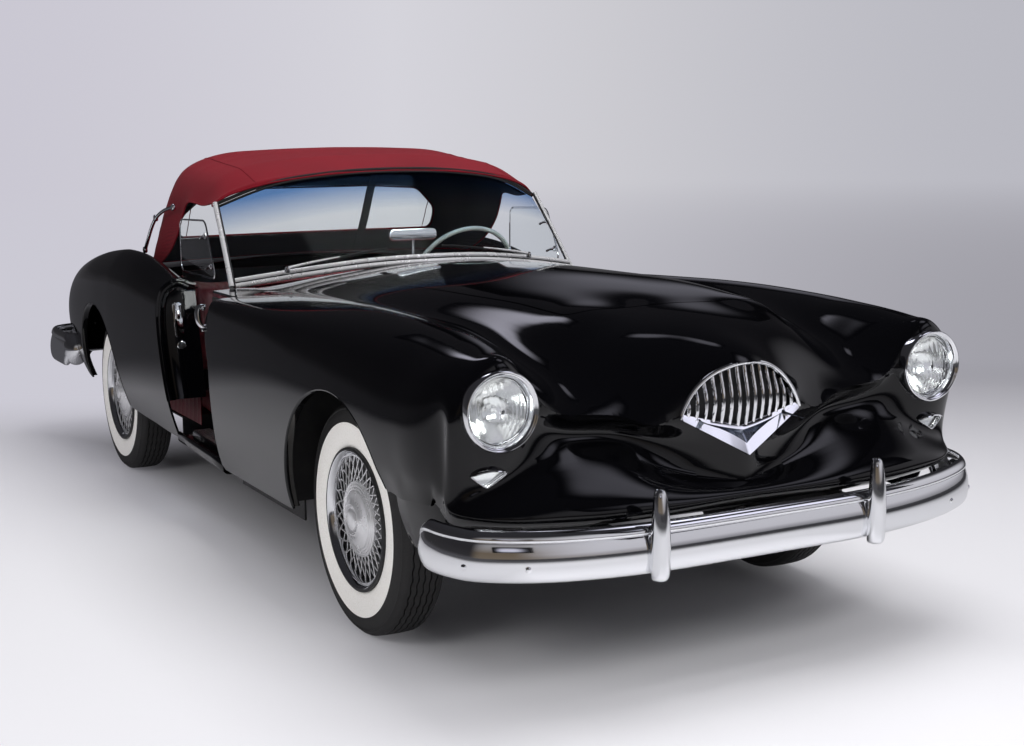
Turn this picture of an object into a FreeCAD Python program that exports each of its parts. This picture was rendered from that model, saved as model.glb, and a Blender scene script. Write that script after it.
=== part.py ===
"""A two-seat roadster of the 1950s with doors that slide forward into the front fenders.

Frame: the origin is on the ground under the middle of the car, +X points forward,
+Y to the car's left and +Z up. All sizes are in millimetres.
"""
import FreeCAD, Part
import math
import os

V = FreeCAD.Vector
os.makedirs("parts", exist_ok=True)

# Driving dimensions
WHEELBASE = 2540.0
FRONT_AXLE_X = 1388.0
REAR_AXLE_X = FRONT_AXLE_X - WHEELBASE
TRACK_HALF = 686.0
TYRE_RADIUS = 333.0
BEAD_RADIUS = 204.0
SKIN = 12.0                 # body panel with its turned edge
GAP = 5.0                   # shut line between panels
GLASS = 5.0
FRONT_ARCH = (FRONT_AXLE_X + 50.0, TYRE_RADIUS, 385.0)      # x, z, radius
REAR_ARCH = (REAR_AXLE_X - 8.0, TYRE_RADIUS + 8.0, 375.0)
DOOR_MOUTH_X = 403.0        # rear edge of the front fender, where the door slides in
DOOR_JAMB_TOP = (-229.0, 868.0)     # x, z of the front edge of the rear quarter at its top
DOOR_JAMB_FOOT = (-104.0, 318.0)
DOOR_FRONT_X = DOOR_MOUTH_X + 20.0
DOOR_TRAVEL = 500.0
POCKET_WALL_Y = 748.0
HOOD_FRONT_X = 1838.0
KINGPIN_Y = 600.0
FLOOR_Z = 232.0
BOOT_FLOOR_Z = 495.0
WHEEL_COLUMN_TILT = 28.0    # degrees of the steering column below level
STEERING_CENTRE = V(-62.0, 330.0, 860.0)
PLATE_HOLES_Y = 178.0
PLATE_HOLES_Z = 121.0


def export(name, shape):
    """Write one node, after making sure that each of its solids is whole."""
    for solid in shape.Solids:
        if not solid.isValid() or solid.Volume <= 0:
            raise ValueError(name + " has a bad solid")
    shape.exportStep("parts/" + name + ".step")
    print("%-20s %2d solids %10.0f cm3" % (name, len(shape.Solids), shape.Volume / 1000.0))


def mirrored(shape):
    """The same shape on the other side of the car."""
    return shape.mirror(V(0, 0, 0), V(0, 1, 0))


def pair(shape):
    """Like pieces right and left, in one node."""
    return Part.makeCompound([shape, mirrored(shape)])


def box(x0, x1, y0, y1, z0, z1):
    return Part.makeBox(x1 - x0, y1 - y0, z1 - z0, V(x0, y0, z0))


def prism(points, direction):
    """A straight extrusion of a flat outline."""
    return Part.Face(Part.makePolygon(points + points[:1])).extrude(direction)


def tube(start, end, radius):
    return Part.makeCylinder(radius, (end - start).Length, start, end - start)


def revolved(profile, centre):
    """A body turned about a line along Y; the profile is (radius, offset along Y)."""
    points = [centre + V(0, y, r) for r, y in profile]
    face = Part.Face(Part.makePolygon(points + points[:1]))
    return face.revolve(centre, V(0, 1, 0), 360)


def solid_of(faces):
    shell = Part.Shell(faces)
    shell.sewShape()
    solid = Part.Solid(shell)
    if solid.Volume < 0:
        solid.reverse()
    return solid


def grid_faces(rows):
    """Two flat triangles for each cell of a grid of points."""
    faces = []
    for first, second in zip(rows, rows[1:]):
        for j in range(len(first) - 1):
            for corners in ((first[j], first[j + 1], second[j + 1]), (first[j], second[j + 1], second[j])):
                area = (corners[1] - corners[0]).cross(corners[2] - corners[0]).Length
                if area > 1e-3:
                    faces.append(Part.Face(Part.makePolygon(list(corners) + [corners[0]])))
    return faces


def wall(rows, thickness, inside, first=0, last=None):
    """A panel of even thickness behind a grid of points on its outer face.

    inside is a point on the hollow side, which tells the two faces apart. first and
    last pick some rows of the grid, so that neighbouring panels meet flush."""
    inner = []
    for i, row in enumerate(rows):
        behind = []
        for j, point in enumerate(row):
            along = rows[min(i + 1, len(rows) - 1)][j] - rows[max(i - 1, 0)][j]
            across = row[min(j + 1, len(row) - 1)] - row[max(j - 1, 0)]
            normal = along.cross(across)
            normal.normalize()
            if normal.dot(inside - point) < 0:
                normal = normal * -1
            behind.append(point + normal * thickness)
        inner.append(behind)
    rows = rows[first:last]
    inner = inner[first:last]
    rim = [[rows[0], inner[0]], [rows[-1], inner[-1]],
           [[row[0] for row in rows], [row[0] for row in inner]],
           [[row[-1] for row in rows], [row[-1] for row in inner]]]
    faces = grid_faces(rows) + grid_faces(inner)
    for strip in rim:
        faces += grid_faces(strip)
    return solid_of(faces)


def at_stations(table, side=1.0):
    """Rows of points across the car from a table of x and (y, z) pairs."""
    return [[V(x, side * y, z) for y, z in profile] for x, profile in table]


def both_sides(rows):
    """Rows that run from the middle out, continued to the other side."""
    return [[V(p.x, -p.y, p.z) for p in reversed(row[1:])] + row for row in rows]


def bar(points, radius, sides=8):
    """A slim rod through a few points: a ring of flats, mitred at each bend."""
    rings = []
    for i, point in enumerate(points):
        along = points[min(i + 1, len(points) - 1)] - points[max(i - 1, 0)]
        along.normalize()
        across = along.cross(V(0.31, 0.17, 0.93)).normalize()
        upward = along.cross(across)
        turns = [2 * math.pi * k / sides for k in range(sides)]
        rings.append([point + (across * math.cos(t) + upward * math.sin(t)) * radius for t in turns])
    faces = grid_faces([ring + ring[:1] for ring in rings])
    for ring in (rings[0], rings[-1]):
        faces.append(Part.Face(Part.makePolygon(ring + ring[:1])))
    return solid_of(faces)


# Front of the body: x, then (y, z) at the middle, hood crown, hood side, valley, inner
# slope, fender crest, shoulder, corner, widest line, waist, low line and bottom edge.
FRONT = [
    (150, [(0, 928), (200, 920), (400, 902), (540, 886), (611, 881), (660, 879), (790, 870),
           (843, 838), (852, 700), (850, 560), (836, 400), (812, 299)]),
    (280, [(0, 944), (200, 936), (405, 912), (545, 888), (612, 882), (660, 880), (790, 871),
           (843, 838), (852, 700), (850, 560), (836, 400), (812, 299)]),
    (403, [(0, 956), (200, 946), (412, 917), (552, 889), (615, 882), (660, 881), (790, 872),
           (843, 838), (852, 700), (850, 560), (836, 400), (812, 299)]),
    (650, [(0, 976), (205, 963), (420, 922), (545, 893), (610, 894), (658, 898), (787, 880),
           (841, 830), (852, 700), (850, 560), (836, 400), (812, 299)]),
    (903, [(0, 985), (200, 973), (408, 934), (530, 897), (600, 902), (655, 910), (785, 882),
           (838, 825), (851, 700), (849, 560), (835, 400), (812, 299)]),
    (1150, [(0, 988), (195, 975), (392, 941), (515, 896), (590, 906), (655, 919), (775, 886),
            (833, 812), (850, 695), (848, 560), (834, 400), (811, 299)]),
    (1388, [(0, 986), (185, 976), (374, 945), (490, 892), (580, 905), (655, 922), (768, 888),
            (829, 805), (848, 690), (847, 560), (834, 400), (811, 299)]),
    (1600, [(0, 976), (175, 966), (345, 941), (472, 878), (572, 899), (657, 918), (762, 883),
            (823, 798), (844, 690), (843, 560), (832, 400), (811, 299)]),
    (1738, [(0, 961), (165, 953), (330, 933), (467, 858), (570, 890), (659, 913), (758, 878),
            (818, 793), (840, 690), (840, 570), (830, 480), (812, 400)]),
    (1838, [(0, 944), (165, 937), (320, 924), (465, 833), (568, 884), (661, 907), (755, 872),
            (814, 788), (836, 690), (836, 600), (832, 560), (822, 535)]),
]

# Nose: for each line of FRONT the points (x, y, z) that carry it on over the upper face,
# forehead, brow, hollow, lip, front edge of the apron and its underside.
NOSE = [
    [(1948, 0, 925), (2080, 0, 882), (2215, 0, 825), (2208, 0, 640), (2194, 0, 520), (2245, 0, 490),
     (2160, 0, 440)],
    [(1950, 172, 911), (2075, 180, 855), (2172, 191, 700), (2150, 195, 640), (2165, 180, 552),
     (2250, 190, 490), (2160, 190, 442)],
    [(1940, 325, 878), (2040, 330, 815), (2143, 330, 708), (2095, 330, 655), (2150, 330, 592),
     (2250, 330, 492), (2160, 330, 445)],
    [(1940, 465, 805), (2030, 465, 770), (2122, 465, 722), (2085, 465, 665), (2140, 465, 604),
     (2240, 465, 494), (2150, 465, 448)],
    [(1940, 575, 866), (2040, 577, 842), (2118, 574, 765), (2112, 574, 690), (2135, 575, 598),
     (2225, 575, 497), (2130, 575, 450)],
    [(1960, 668, 898), (2075, 675, 880), (2128, 681, 860), (2130, 681, 646), (2125, 690, 560),
     (2192, 690, 500), (2110, 690, 455)],
    [(1950, 757, 864), (2045, 764, 848), (2112, 788, 770), (2110, 788, 690), (2100, 770, 548),
     (2125, 770, 503), (2070, 760, 465)],
    [(1930, 811, 787), (2010, 806, 778), (2065, 800, 740), (2075, 800, 670), (2065, 795, 548),
     (2070, 795, 510), (2030, 780, 480)],
    [(1905, 832, 690), (1965, 824, 688), (2015, 812, 680), (2045, 804, 640), (2050, 798, 560),
     (2045, 794, 530), (2005, 784, 500)],
    [(1890, 834, 598), (1940, 829, 596), (1985, 820, 592), (2015, 812, 585), (2025, 805, 560),
     (2020, 800, 537), (1985, 792, 515)],
    [(1885, 830, 557), (1930, 826, 554), (1970, 818, 551), (1995, 809, 548), (2003, 803, 540),
     (2000, 799, 528), (1975, 791, 512)],
    [(1880, 821, 531), (1920, 817, 528), (1955, 810, 525), (1975, 803, 522), (1983, 798, 517),
     (1980, 795, 512), (1965, 789, 505)],
]

# Plan of the hood's shut line, from the middle of its rear edge to the middle of its front.
HOOD_LINE = [(405, 0), (392, 150), (362, 315), (322, 455), (283, 560), (262, 615), (272, 640),
             (300, 636), (360, 596), (448, 540), (560, 475), (708, 430), (1054, 386), (1375, 372),
             (1610, 340), (1775, 324), (1815, 314), (1831, 290), (1836, 240), (1838, 0)]

# Plan of the foot of the windshield, from the middle out.
SCREEN_FOOT = [(340, 0), (318, 230), (265, 455), (175, 672)]

# Rear quarter: x, then (y, z) at the deck edge, valley, crest, shoulder, corner, widest
# line, waist, low line and bottom edge.
QUARTER = [
    (-95, [(694, 864), (718, 868), (745, 872), (792, 862), (836, 815), (851, 700), (849, 560),
           (838, 430), (812, 318)]),
    (-229, [(688, 867), (714, 872), (745, 885), (796, 872), (839, 822), (853, 700), (850, 560),
            (838, 430), (812, 318)]),
    (-400, [(672, 868), (700, 874), (745, 916), (798, 895), (842, 830), (856, 700), (852, 560),
            (838, 430), (808, 318)]),
    (-712, [(655, 868), (692, 872), (742, 948), (802, 918), (847, 838), (859, 700), (855, 560),
            (838, 430), (806, 318)]),
    (-912, [(640, 868), (688, 872), (742, 950), (802, 918), (847, 835), (859, 700), (855, 560),
            (838, 430), (806, 320)]),
    (-957, [(638, 868), (688, 872), (741, 946), (802, 914), (846, 832), (858, 700), (854, 560),
            (837, 430), (805, 321)]),
    (-963, [(432, 884), (640, 868), (741, 945), (802, 912), (846, 830), (857, 700), (853, 560),
            (836, 430), (805, 322)]),
    (-1152, [(432, 874), (620, 858), (735, 928), (798, 893), (842, 815), (853, 700), (850, 560),
             (834, 430), (803, 330)]),
    (-1596, [(432, 845), (585, 832), (713, 868), (776, 835), (817, 760), (829, 660), (822, 540),
             (803, 430), (770, 340)]),
    (-1850, [(432, 790), (570, 785), (690, 812), (748, 778), (785, 705), (796, 615), (788, 520),
             (766, 430), (730, 345)]),
    (-2032, [(432, 735), (550, 728), (655, 745), (705, 712), (738, 655), (750, 590), (742, 510),
             (720, 430), (680, 350)]),
    (-2150, [(432, 668), (530, 655), (610, 650), (650, 625), (678, 590), (690, 555), (682, 500),
             (655, 430), (615, 365)]),
    (-2228, [(432, 600), (490, 592), (530, 580), (550, 565), (563, 548), (570, 528), (562, 490),
             (540, 440), (505, 395)]),
]

# Boot lid: x, then (y, z) from the middle to the edge.
LID = [
    (-968, [(0, 900), (160, 898), (300, 892), (427, 884)]),
    (-1300, [(0, 888), (160, 886), (300, 878), (427, 866)]),
    (-1596, [(0, 862), (160, 860), (300, 853), (427, 845)]),
    (-1850, [(0, 808), (160, 806), (300, 799), (427, 790)]),
    (-2032, [(0, 752), (160, 750), (300, 744), (427, 735)]),
    (-2100, [(0, 722), (160, 720), (300, 712), (427, 697)]),
]

# Tail panel under the lid: y, then (x, z) from the lid down to the bumper.
TAIL = [
    (0, [(-2105, 721), (-2185, 668), (-2245, 600), (-2270, 525), (-2264, 440), (-2235, 350)]),
    (220, [(-2105, 718), (-2180, 665), (-2240, 600), (-2264, 525), (-2258, 442), (-2230, 352)]),
    (428, [(-2105, 696), (-2165, 655), (-2222, 602), (-2246, 530), (-2240, 450), (-2212, 362)]),
]

# Soft top: (x, y, z) from the middle out, one row from the header back to the deck.
SOFT_TOP = [
    [(28, 0, 1285), (16, 250, 1274), (-20, 470, 1249), (-64, 600, 1206), (-92, 655, 1164)],
    [(-190, 0, 1326), (-192, 250, 1318), (-196, 470, 1292), (-200, 600, 1243), (-205, 658, 1152)],
    [(-420, 0, 1345), (-420, 250, 1338), (-420, 470, 1312), (-412, 605, 1262), (-345, 669, 1158)],
    [(-620, 0, 1340), (-620, 250, 1336), (-616, 470, 1322), (-585, 625, 1252), (-395, 678, 1104)],
    [(-745, 0, 1215), (-743, 250, 1210), (-735, 470, 1195), (-690, 650, 1140), (-445, 683, 1040)],
    [(-845, 0, 1045), (-842, 250, 1041), (-832, 470, 1030), (-795, 658, 1008), (-545, 686, 965)],
    [(-935, 0, 905), (-930, 250, 902), (-914, 470, 898), (-872, 664, 893), (-705, 688, 898)],
]

ENGINE_BAY_POINT = V(1100, 0, 500)
BOOT_POINT = V(-1500, 0, 500)


def arch_cutter(arch):
    x, z, radius = arch
    return Part.makeCylinder(radius, 600, V(x, 430, z), V(0, 1, 0))


def front_rows():
    """Grid of the whole front skin from side to side, windshield to apron."""
    rows = at_stations(FRONT)
    for step in range(len(NOSE[0])):
        rows.append([V(*line[step]) for line in NOSE])
    return both_sides(rows)


def plan_prism(outline, grow):
    """Upright prism of a closed plan outline, pushed out by grow."""
    points = []
    for i, (x, y) in enumerate(outline):
        before = V(*outline[i - 1], 0)
        after = V(*outline[(i + 1) % len(outline)], 0)
        along = (after - before).normalize()
        points.append(V(x, y, 820) + V(along.y, -along.x, 0) * grow)
    return prism(points, V(0, 0, 260))


def hood_prism(grow):
    right = [(x, -y) for x, y in reversed(HOOD_LINE[1:-1])]
    return plan_prism(list(reversed(HOOD_LINE)) + list(reversed(right)), grow)


def behind_screen(shift):
    """Everything behind the foot of the windshield, moved back by shift."""
    half = [(x - shift, y) for x, y in SCREEN_FOOT] + [(120 - shift, 800)]
    outline = [(x, -y) for x, y in reversed(half[1:])] + half + [(-200, 800), (-200, -800)]
    return prism([V(x, y, 700) for x, y in outline], V(0, 0, 400))


def front_panels():
    """The front skin, parted into hood, cowl, fenders and nose along its shut lines."""
    rows = front_rows()
    last_fender = len(FRONT)
    skin = wall(rows, SKIN, ENGINE_BAY_POINT, 0, last_fender)
    nose = wall(rows, SKIN, ENGINE_BAY_POINT, last_fender - 1)
    nose = nose.cut(box(1700, HOOD_FRONT_X + GAP / 2, -900, 900, 400, 1000))
    hood = skin.common(hood_prism(-GAP / 2))
    around = skin.cut(hood_prism(GAP / 2)).cut(box(HOOD_FRONT_X - 2, 1900, -900, 900, 400, 1000))
    cowl = around.cut(box(DOOR_MOUTH_X - 2, 2300, -900, 900, 250, 1000)).cut(behind_screen(-17))
    cowl = cowl.common(box(100, 500, -745, 745, 700, 1000))
    fenders = []
    for side in (1, -1):
        half = around.common(box(DOOR_MOUTH_X, 2300, *sorted((side * 1, side * 900)), 250, 1000))
        cutter = arch_cutter(FRONT_ARCH)
        fenders.append(half.cut(cutter if side > 0 else mirrored(cutter)))
    return hood, cowl, Part.makeCompound(fenders), finish_nose(nose)


def grille_outline(grow):
    """The fan of the grille: an arched top over a broad V, as a prism along X."""
    left = V(2100, 191 + grow, 690)
    right = V(2100, -191 - grow, 690)
    point = V(2100, 0, 586 - grow)
    arch = Part.Arc(left, V(2100, 0, 827 + grow), right).toShape()
    wire = Part.Wire([arch, Part.makeLine(right, point), Part.makeLine(point, left)])
    return Part.Face(wire).extrude(V(160, 0, 0))


def finish_nose(panel):
    """Openings for the headlamps, parking lamps and grille."""
    for side in (1, -1):
        panel = panel.cut(Part.makeCylinder(104, 300, V(1990, side * 681, 753), V(1, 0, 0)))
    lamps = parking_lamp(4.0)
    return panel.cut(lamps).cut(mirrored(lamps)).cut(grille_outline(2.0))


def parking_lamp(grow):
    outline = [V(2050, 658 - grow, 602), V(2050, 706, 612 + grow), V(2050, 752 + grow, 602),
               V(2050, 712, 566 - grow)]
    return prism(outline, V(95, 0, 0))


def grille():
    """A shallow curved band of metal that fills the opening."""
    front = Part.Arc(V(2174, 191, 560), V(2214, 0, 560), V(2174, -191, 560)).toShape()
    back = Part.Arc(V(2134, 191, 560), V(2174, 0, 560), V(2134, -191, 560)).toShape()
    ends = [Part.makeLine(V(2174, s * 191, 560), V(2134, s * 191, 560)) for s in (1, -1)]
    slab = Part.Face(Part.Wire(Part.__sortEdges__([front, back] + ends))).extrude(V(0, 0, 290))
    return slab.common(grille_outline(0.0))


def ahead_of_jamb(shift):
    """The space ahead of the slanted front edge of the rear quarter."""
    (top_x, top_z), (foot_x, foot_z) = DOOR_JAMB_TOP, DOOR_JAMB_FOOT
    slope = (foot_x - top_x) / (foot_z - top_z)
    x_at = [top_x + shift + slope * (z - top_z) for z in (960, 200)]
    outline = [V(x_at[0], 500, 960), V(x_at[1], 500, 200), V(1500, 500, 200), V(1500, 500, 960)]
    return prism(outline, V(0, 500, 0))


def quarter():
    """Rear quarter with the jamb that the door closes on."""
    skin = wall(at_stations(QUARTER), SKIN, BOOT_POINT).cut(arch_cutter(REAR_ARCH))
    profile = [V(-300, y - 3, z) for y, z in QUARTER[1][1]] + [V(-300, 690, 318)]
    jamb = prism(profile, V(210, 0, 0)).cut(ahead_of_jamb(0)).common(ahead_of_jamb(-SKIN))
    end = prism([V(-2228, y - 4, z - 2) for y, z in QUARTER[-1][1]] + [V(-2228, 436, 385)], V(6, 0, 0))
    return skin.cut(ahead_of_jamb(0)).fuse(jamb).fuse(end)


def rail():
    """Side rail of the frame: x, bottom and top heights along its length."""
    heights = [(2230, 352, 422), (1750, 345, 420), (1500, 300, 385), (1150, 295, 380), (900, 165, 228),
               (-600, 165, 228), (-860, 232, 298), (-970, 405, 480), (-1430, 405, 480), (-1750, 300, 370),
               (-2220, 282, 342)]
    top = [V(x, 345, high) for x, low, high in heights]
    bottom = [V(x, 345, low) for x, low, high in reversed(heights)]
    return prism(top + bottom, V(0, 55, 0))


def frame():
    crossmembers = [(2130, 2190, 350, 415), (380, 440, 203, 228), (-590, -540, 203, 228),
                    (-1480, -1420, 410, 470), (-2170, -2110, 285, 340)]       # x0, x1, z0, z1
    body = rail().fuse(mirrored(rail()))
    for x0, x1, z0, z1 in crossmembers:
        body = body.fuse(box(x0, x1, -350, 350, z0, z1))
    return body


def front_suspension():
    """Crossmember with an upper and a lower arm on each side."""
    body = box(FRONT_AXLE_X - 55, FRONT_AXLE_X + 55, -420, 420, 225, 294)
    for side in (1, -1):
        for low, high in ((235, 205), (452, 440)):
            outline = [V(FRONT_AXLE_X - 90, side * 400, low), V(FRONT_AXLE_X + 90, side * 400, low),
                       V(FRONT_AXLE_X + 18, side * 574, high), V(FRONT_AXLE_X - 18, side * 574, high)]
            body = body.fuse(prism(outline, V(0, 0, 22)))
        tower = sorted((side * 401, side * 425))
        body = body.fuse(box(FRONT_AXLE_X - 40, FRONT_AXLE_X + 40, *tower, 290, 470))
    return body


def knuckle():
    """Kingpin, spindle, backing plate and steering arm of the left front wheel."""
    x = FRONT_AXLE_X
    post = Part.makeCylinder(16, 290, V(x, KINGPIN_Y, 185), V(0, 0, 1))
    spindle = Part.makeCylinder(20, 115, V(x, KINGPIN_Y, TYRE_RADIUS), V(0, 1, 0))
    plate = Part.makeCylinder(130, 8, V(x, 622, TYRE_RADIUS), V(0, 1, 0))
    arm = box(x - 150, x, KINGPIN_Y - 14, KINGPIN_Y + 14, 285, 305)
    return post.fuse(spindle).fuse(plate).fuse(arm)


def tyre(axle_x, side):
    """Tyre section: beads on the rim, round walls and a crowned tread."""
    c = V(axle_x, side * TRACK_HALF, TYRE_RADIUS)
    half = [(60, BEAD_RADIUS), (75, 265), (62, 318), (56, 330), (44, TYRE_RADIUS - 1)]
    section = [(-y, r) for y, r in half] + [(0, TYRE_RADIUS)] + half[::-1]
    p = [c + V(0, y, r) for y, r in section]
    edges = [Part.Arc(p[i], p[i + 1], p[i + 2]).toShape() for i in (0, 2, 4, 6, 8)]
    edges.append(Part.makeLine(p[10], p[0]))
    return Part.Face(Part.Wire(edges)).revolve(c, V(0, 1, 0), 360)


def wheel(axle_x, side):
    """Rim, centre disc, hub and cap turned as one body: (radius, offset outwards)."""
    profile = [(23, -50), (60, -50), (60, 0), (110, 10), (172, 12), (182, -58), (203, -66),
               (203, -56), (194, -48), (194, 48), (203, 56), (203, 66), (186, 62), (176, 24),
               (112, 30), (107, 62), (98, 77), (20, 83), (0, 83), (0, 42), (23, 42)]
    return revolved([(r, side * y) for r, y in profile], V(axle_x, side * TRACK_HALF, TYRE_RADIUS))


def rear_axle():
    """Axle tube with the differential, brake plates and the leaf springs."""
    c = V(REAR_AXLE_X, 0, TYRE_RADIUS)
    body = Part.makeCylinder(38, 1260, c - V(0, 630, 0), V(0, 1, 0))
    body = body.fuse(Part.makeSphere(135, c))
    for side in (1, -1):
        body = body.fuse(Part.makeCylinder(21, 1410, c - V(0, 705, 0), V(0, 1, 0)))
        drum = c + V(0, 622, 0) if side > 0 else c - V(0, 630, 0)
        body = body.fuse(Part.makeCylinder(130, 8, drum, V(0, 1, 0)))
        y = side * 480
        leaf = [V(-600, y - 25, 195), V(-600, y - 25, 218), V(REAR_AXLE_X + 80, y - 25, 305),
                V(REAR_AXLE_X - 80, y - 25, 305), V(-1690, y - 25, 420), V(-1690, y - 25, 395),
                V(REAR_AXLE_X - 80, y - 25, 275), V(REAR_AXLE_X + 80, y - 25, 275)]
        body = body.fuse(prism(leaf, V(0, 50, 0)))
    return body


def bent_pipe(points, radius, bend):
    """Straight runs joined by tangent arcs, swept with a round section."""
    edges = []
    last = points[0]
    for before, corner, after in zip(points, points[1:], points[2:]):
        a = (before - corner).normalize()
        b = (after - corner).normalize()
        half = a.getAngle(b) / 2
        reach = bend / math.tan(half)
        middle = (a + b).normalize() * (bend / math.sin(half) - bend)
        start = corner + a * reach
        edges.append(Part.makeLine(last, start))
        last = corner + b * reach
        edges.append(Part.Arc(start, corner + middle, last).toShape())
    edges.append(Part.makeLine(last, points[-1]))
    section = Part.Wire(Part.makeCircle(radius, points[0], points[1] - points[0]))
    return Part.Wire(edges).makePipeShell([section], True, True)


def exhaust():
    """Pipe from the engine, under the axle and out at the tail, with a silencer."""
    route = [V(860, -250, 300), V(700, -250, 178), V(-860, -250, 178), V(-1080, -250, 240),
             V(-2290, -250, 240)]
    silencer = Part.makeCylinder(38, 480, V(-400, -250, 168), V(1, 0, 0))
    return bent_pipe(route, 21, 60).fuse(silencer)


def bumper_bar(path, middle_z, height, inside):
    """Curved bright bar: the section bulges outward between its two edges."""
    half = []
    for i, (x, y, rise) in enumerate(path):
        before = path[max(i - 1, 0)]
        after = path[min(i + 1, len(path) - 1)]
        direction = V(after[0] - before[0], after[1] - before[1], 0)
        normal = V(direction.y, -direction.x, 0).normalize()
        if i == 0:
            normal = V(math.copysign(1, x), 0, 0)
        if normal.dot(V(x, y, 0) - inside) < 0:
            normal = normal * -1
        profile = ((-26, -0.5), (-6, -0.36), (0, -0.12), (0, 0.12), (-6, 0.36), (-26, 0.5))
        half.append([V(x, y, middle_z + rise) + normal * d + V(0, 0, t * height) for d, t in profile])
    other = [[V(p.x, -p.y, p.z) for p in row] for row in reversed(half[1:])]
    return wall(other + half, 6.0, V(inside.x, 0, middle_z))


def guard(x, y, z0, z1, back):
    """A slim upright guard, pointed at the top, in front of the bar."""
    face = math.copysign(1, x)
    outline = [V(x, y - 27, z0 + 30), V(x - face * 5, y - 27, z0), V(x - face * back, y - 27, z0 + 10),
               V(x - face * back, y - 27, z1 - 60), V(x - face * 22, y - 27, z1), V(x, y - 27, z1 - 45)]
    return prism(outline, V(0, 54, 0))


FRONT_BAR = [(2312, 0, 0), (2306, 340, 0), (2270, 590, 4), (2206, 768, 13), (2120, 838, 18), (2005, 858, 21)]
REAR_BAR = [(-2316, 0, 0), (-2312, 340, 0), (-2280, 600, 4), (-2190, 775, 10), (-2040, 848, 14),
            (-1700, 858, 18)]


def front_bumper():
    body = bumper_bar(FRONT_BAR, 409, 128, V(1900, 0, 0))
    for side in (1, -1):
        body = body.fuse(guard(2338, side * 341, 330, 560, 45))
        body = body.fuse(box(2233, 2300, *sorted((side * 352, side * 392)), 365, 410))
    return body


def rear_bumper():
    body = bumper_bar(REAR_BAR, 428, 150, V(-1800, 0, 0))
    for side in (1, -1):
        body = body.fuse(guard(-2338, side * 341, 345, 575, 40))
        body = body.fuse(box(-2305, -2223, *sorted((side * 352, side * 392)), 288, 336))
        body = body.fuse(box(-2305, -2280, *sorted((side * 352, side * 392)), 288, 400))
    return body


# Windshield: (x, y, z) of the lower and upper edge of the glass, from the middle out.
SCREEN = [
    ((340, 0, 962), (50, 0, 1262)),
    ((318, 230, 955), (38, 230, 1254)),
    ((265, 455, 930), (6, 460, 1222)),
    ((175, 672, 896), (-62, 645, 1150)),
]


def screen_edge(which, push, lift):
    """One edge of the windshield from side to side, moved outward and up."""
    half = [V(*row[which]) + V(push, 0, lift) for row in SCREEN]
    return [V(p.x, -p.y, p.z) for p in reversed(half[1:])] + half


def windshield_glass():
    half = [[V(*row[0]) * (1 - t) + V(*row[1]) * t for t in (0.0, 0.33, 0.67, 1.0)] for row in SCREEN]
    other = [[V(p.x, -p.y, p.z) for p in row] for row in reversed(half[1:])]
    return wall(other + half, GLASS, V(-300, 0, 1050))


def windshield_frame():
    lower = screen_edge(0, 0, -15)
    upper = screen_edge(1, -4, 13)
    frame = bar(lower, 11).fuse(bar(upper, 10))
    for end in (0, -1):
        side = math.copysign(1, lower[end].y)
        out = V(0, side * 16, 0)
        frame = frame.fuse(bar([lower[end], lower[end] + out, upper[end] + out, upper[end]], 11))
    return frame


def wiper(pivot_y, tip_y):
    """Arm and blade lying on the foot of the windshield."""
    pivot = V(356, pivot_y, 972)
    elbow = V(322, (pivot_y + tip_y) / 2, 996)
    tip = V(298, tip_y, 1008)
    return bar([pivot, elbow, tip], 4)


def soft_top():
    rows = both_sides([[V(*p) for p in row] for row in SOFT_TOP])
    cover = wall(rows, 8.0, V(-350, 0, 1000))
    half = [(562, 996), (562, 1080), (462, 1170), (240, 1184)]
    outline = [V(-1000, y, z) for y, z in half] + [V(-1000, -y, z) for y, z in reversed(half)]
    return cover.cut(prism(outline, V(420, 0, 0)))


def rear_window():
    """Clear pane that closes the opening in the back of the top."""
    half = []
    for y, foot_x, head_x, foot_z, head_z in ((0, -861, -739, 990, 1191), (250, -859, -737, 990, 1189),
                                              (470, -838, -726, 990, 1179), (575, -809, -739, 990, 1090)):
        half.append([V(foot_x, y, foot_z), V(head_x, y, head_z)])
    other = [[V(p.x, -p.y, p.z) for p in row] for row in reversed(half[1:])]
    return wall(other + half, 3.0, V(-350, 0, 1000))


def top_frame():
    """Outer irons at the sides and two bows under the cloth."""
    irons = bar([V(-436, 700, 1136), V(-676, 702, 1088), V(-842, 704, 950)], 8)
    bows = []
    for x, drop in ((-190, 0), (-420, 0)):
        row = [r for r in SOFT_TOP if abs(r[0][0] - x) < 5][0]
        half = [V(px, py * 0.97, pz - 20) for px, py, pz in row[:4]]
        points = [V(p.x, -p.y, p.z) for p in reversed(half[1:])] + half
        bows.append(bar(points, 7))
    return Part.makeCompound([irons, mirrored(irons)] + bows)


def door():
    """Sliding door, closed, on the left: outer face, foot and inner face."""
    outline = [(772, 846), (786, 846), (798, 832), (820, 800), (831, 700), (829, 560), (815, 400),
               (797, 325), (762, 325), (762, 836)]
    slab = prism([V(-300, y, z) for y, z in outline], V(DOOR_FRONT_X + 300, 0, 0)).common(ahead_of_jamb(GAP))
    pull = box(-206, -148, 815, 850, 758, 835).common(ahead_of_jamb(GAP + 2))
    return slab.fuse(pull)


def steering_axis():
    a = math.radians(WHEEL_COLUMN_TILT)
    return V(math.cos(a), 0, -math.sin(a))


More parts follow.
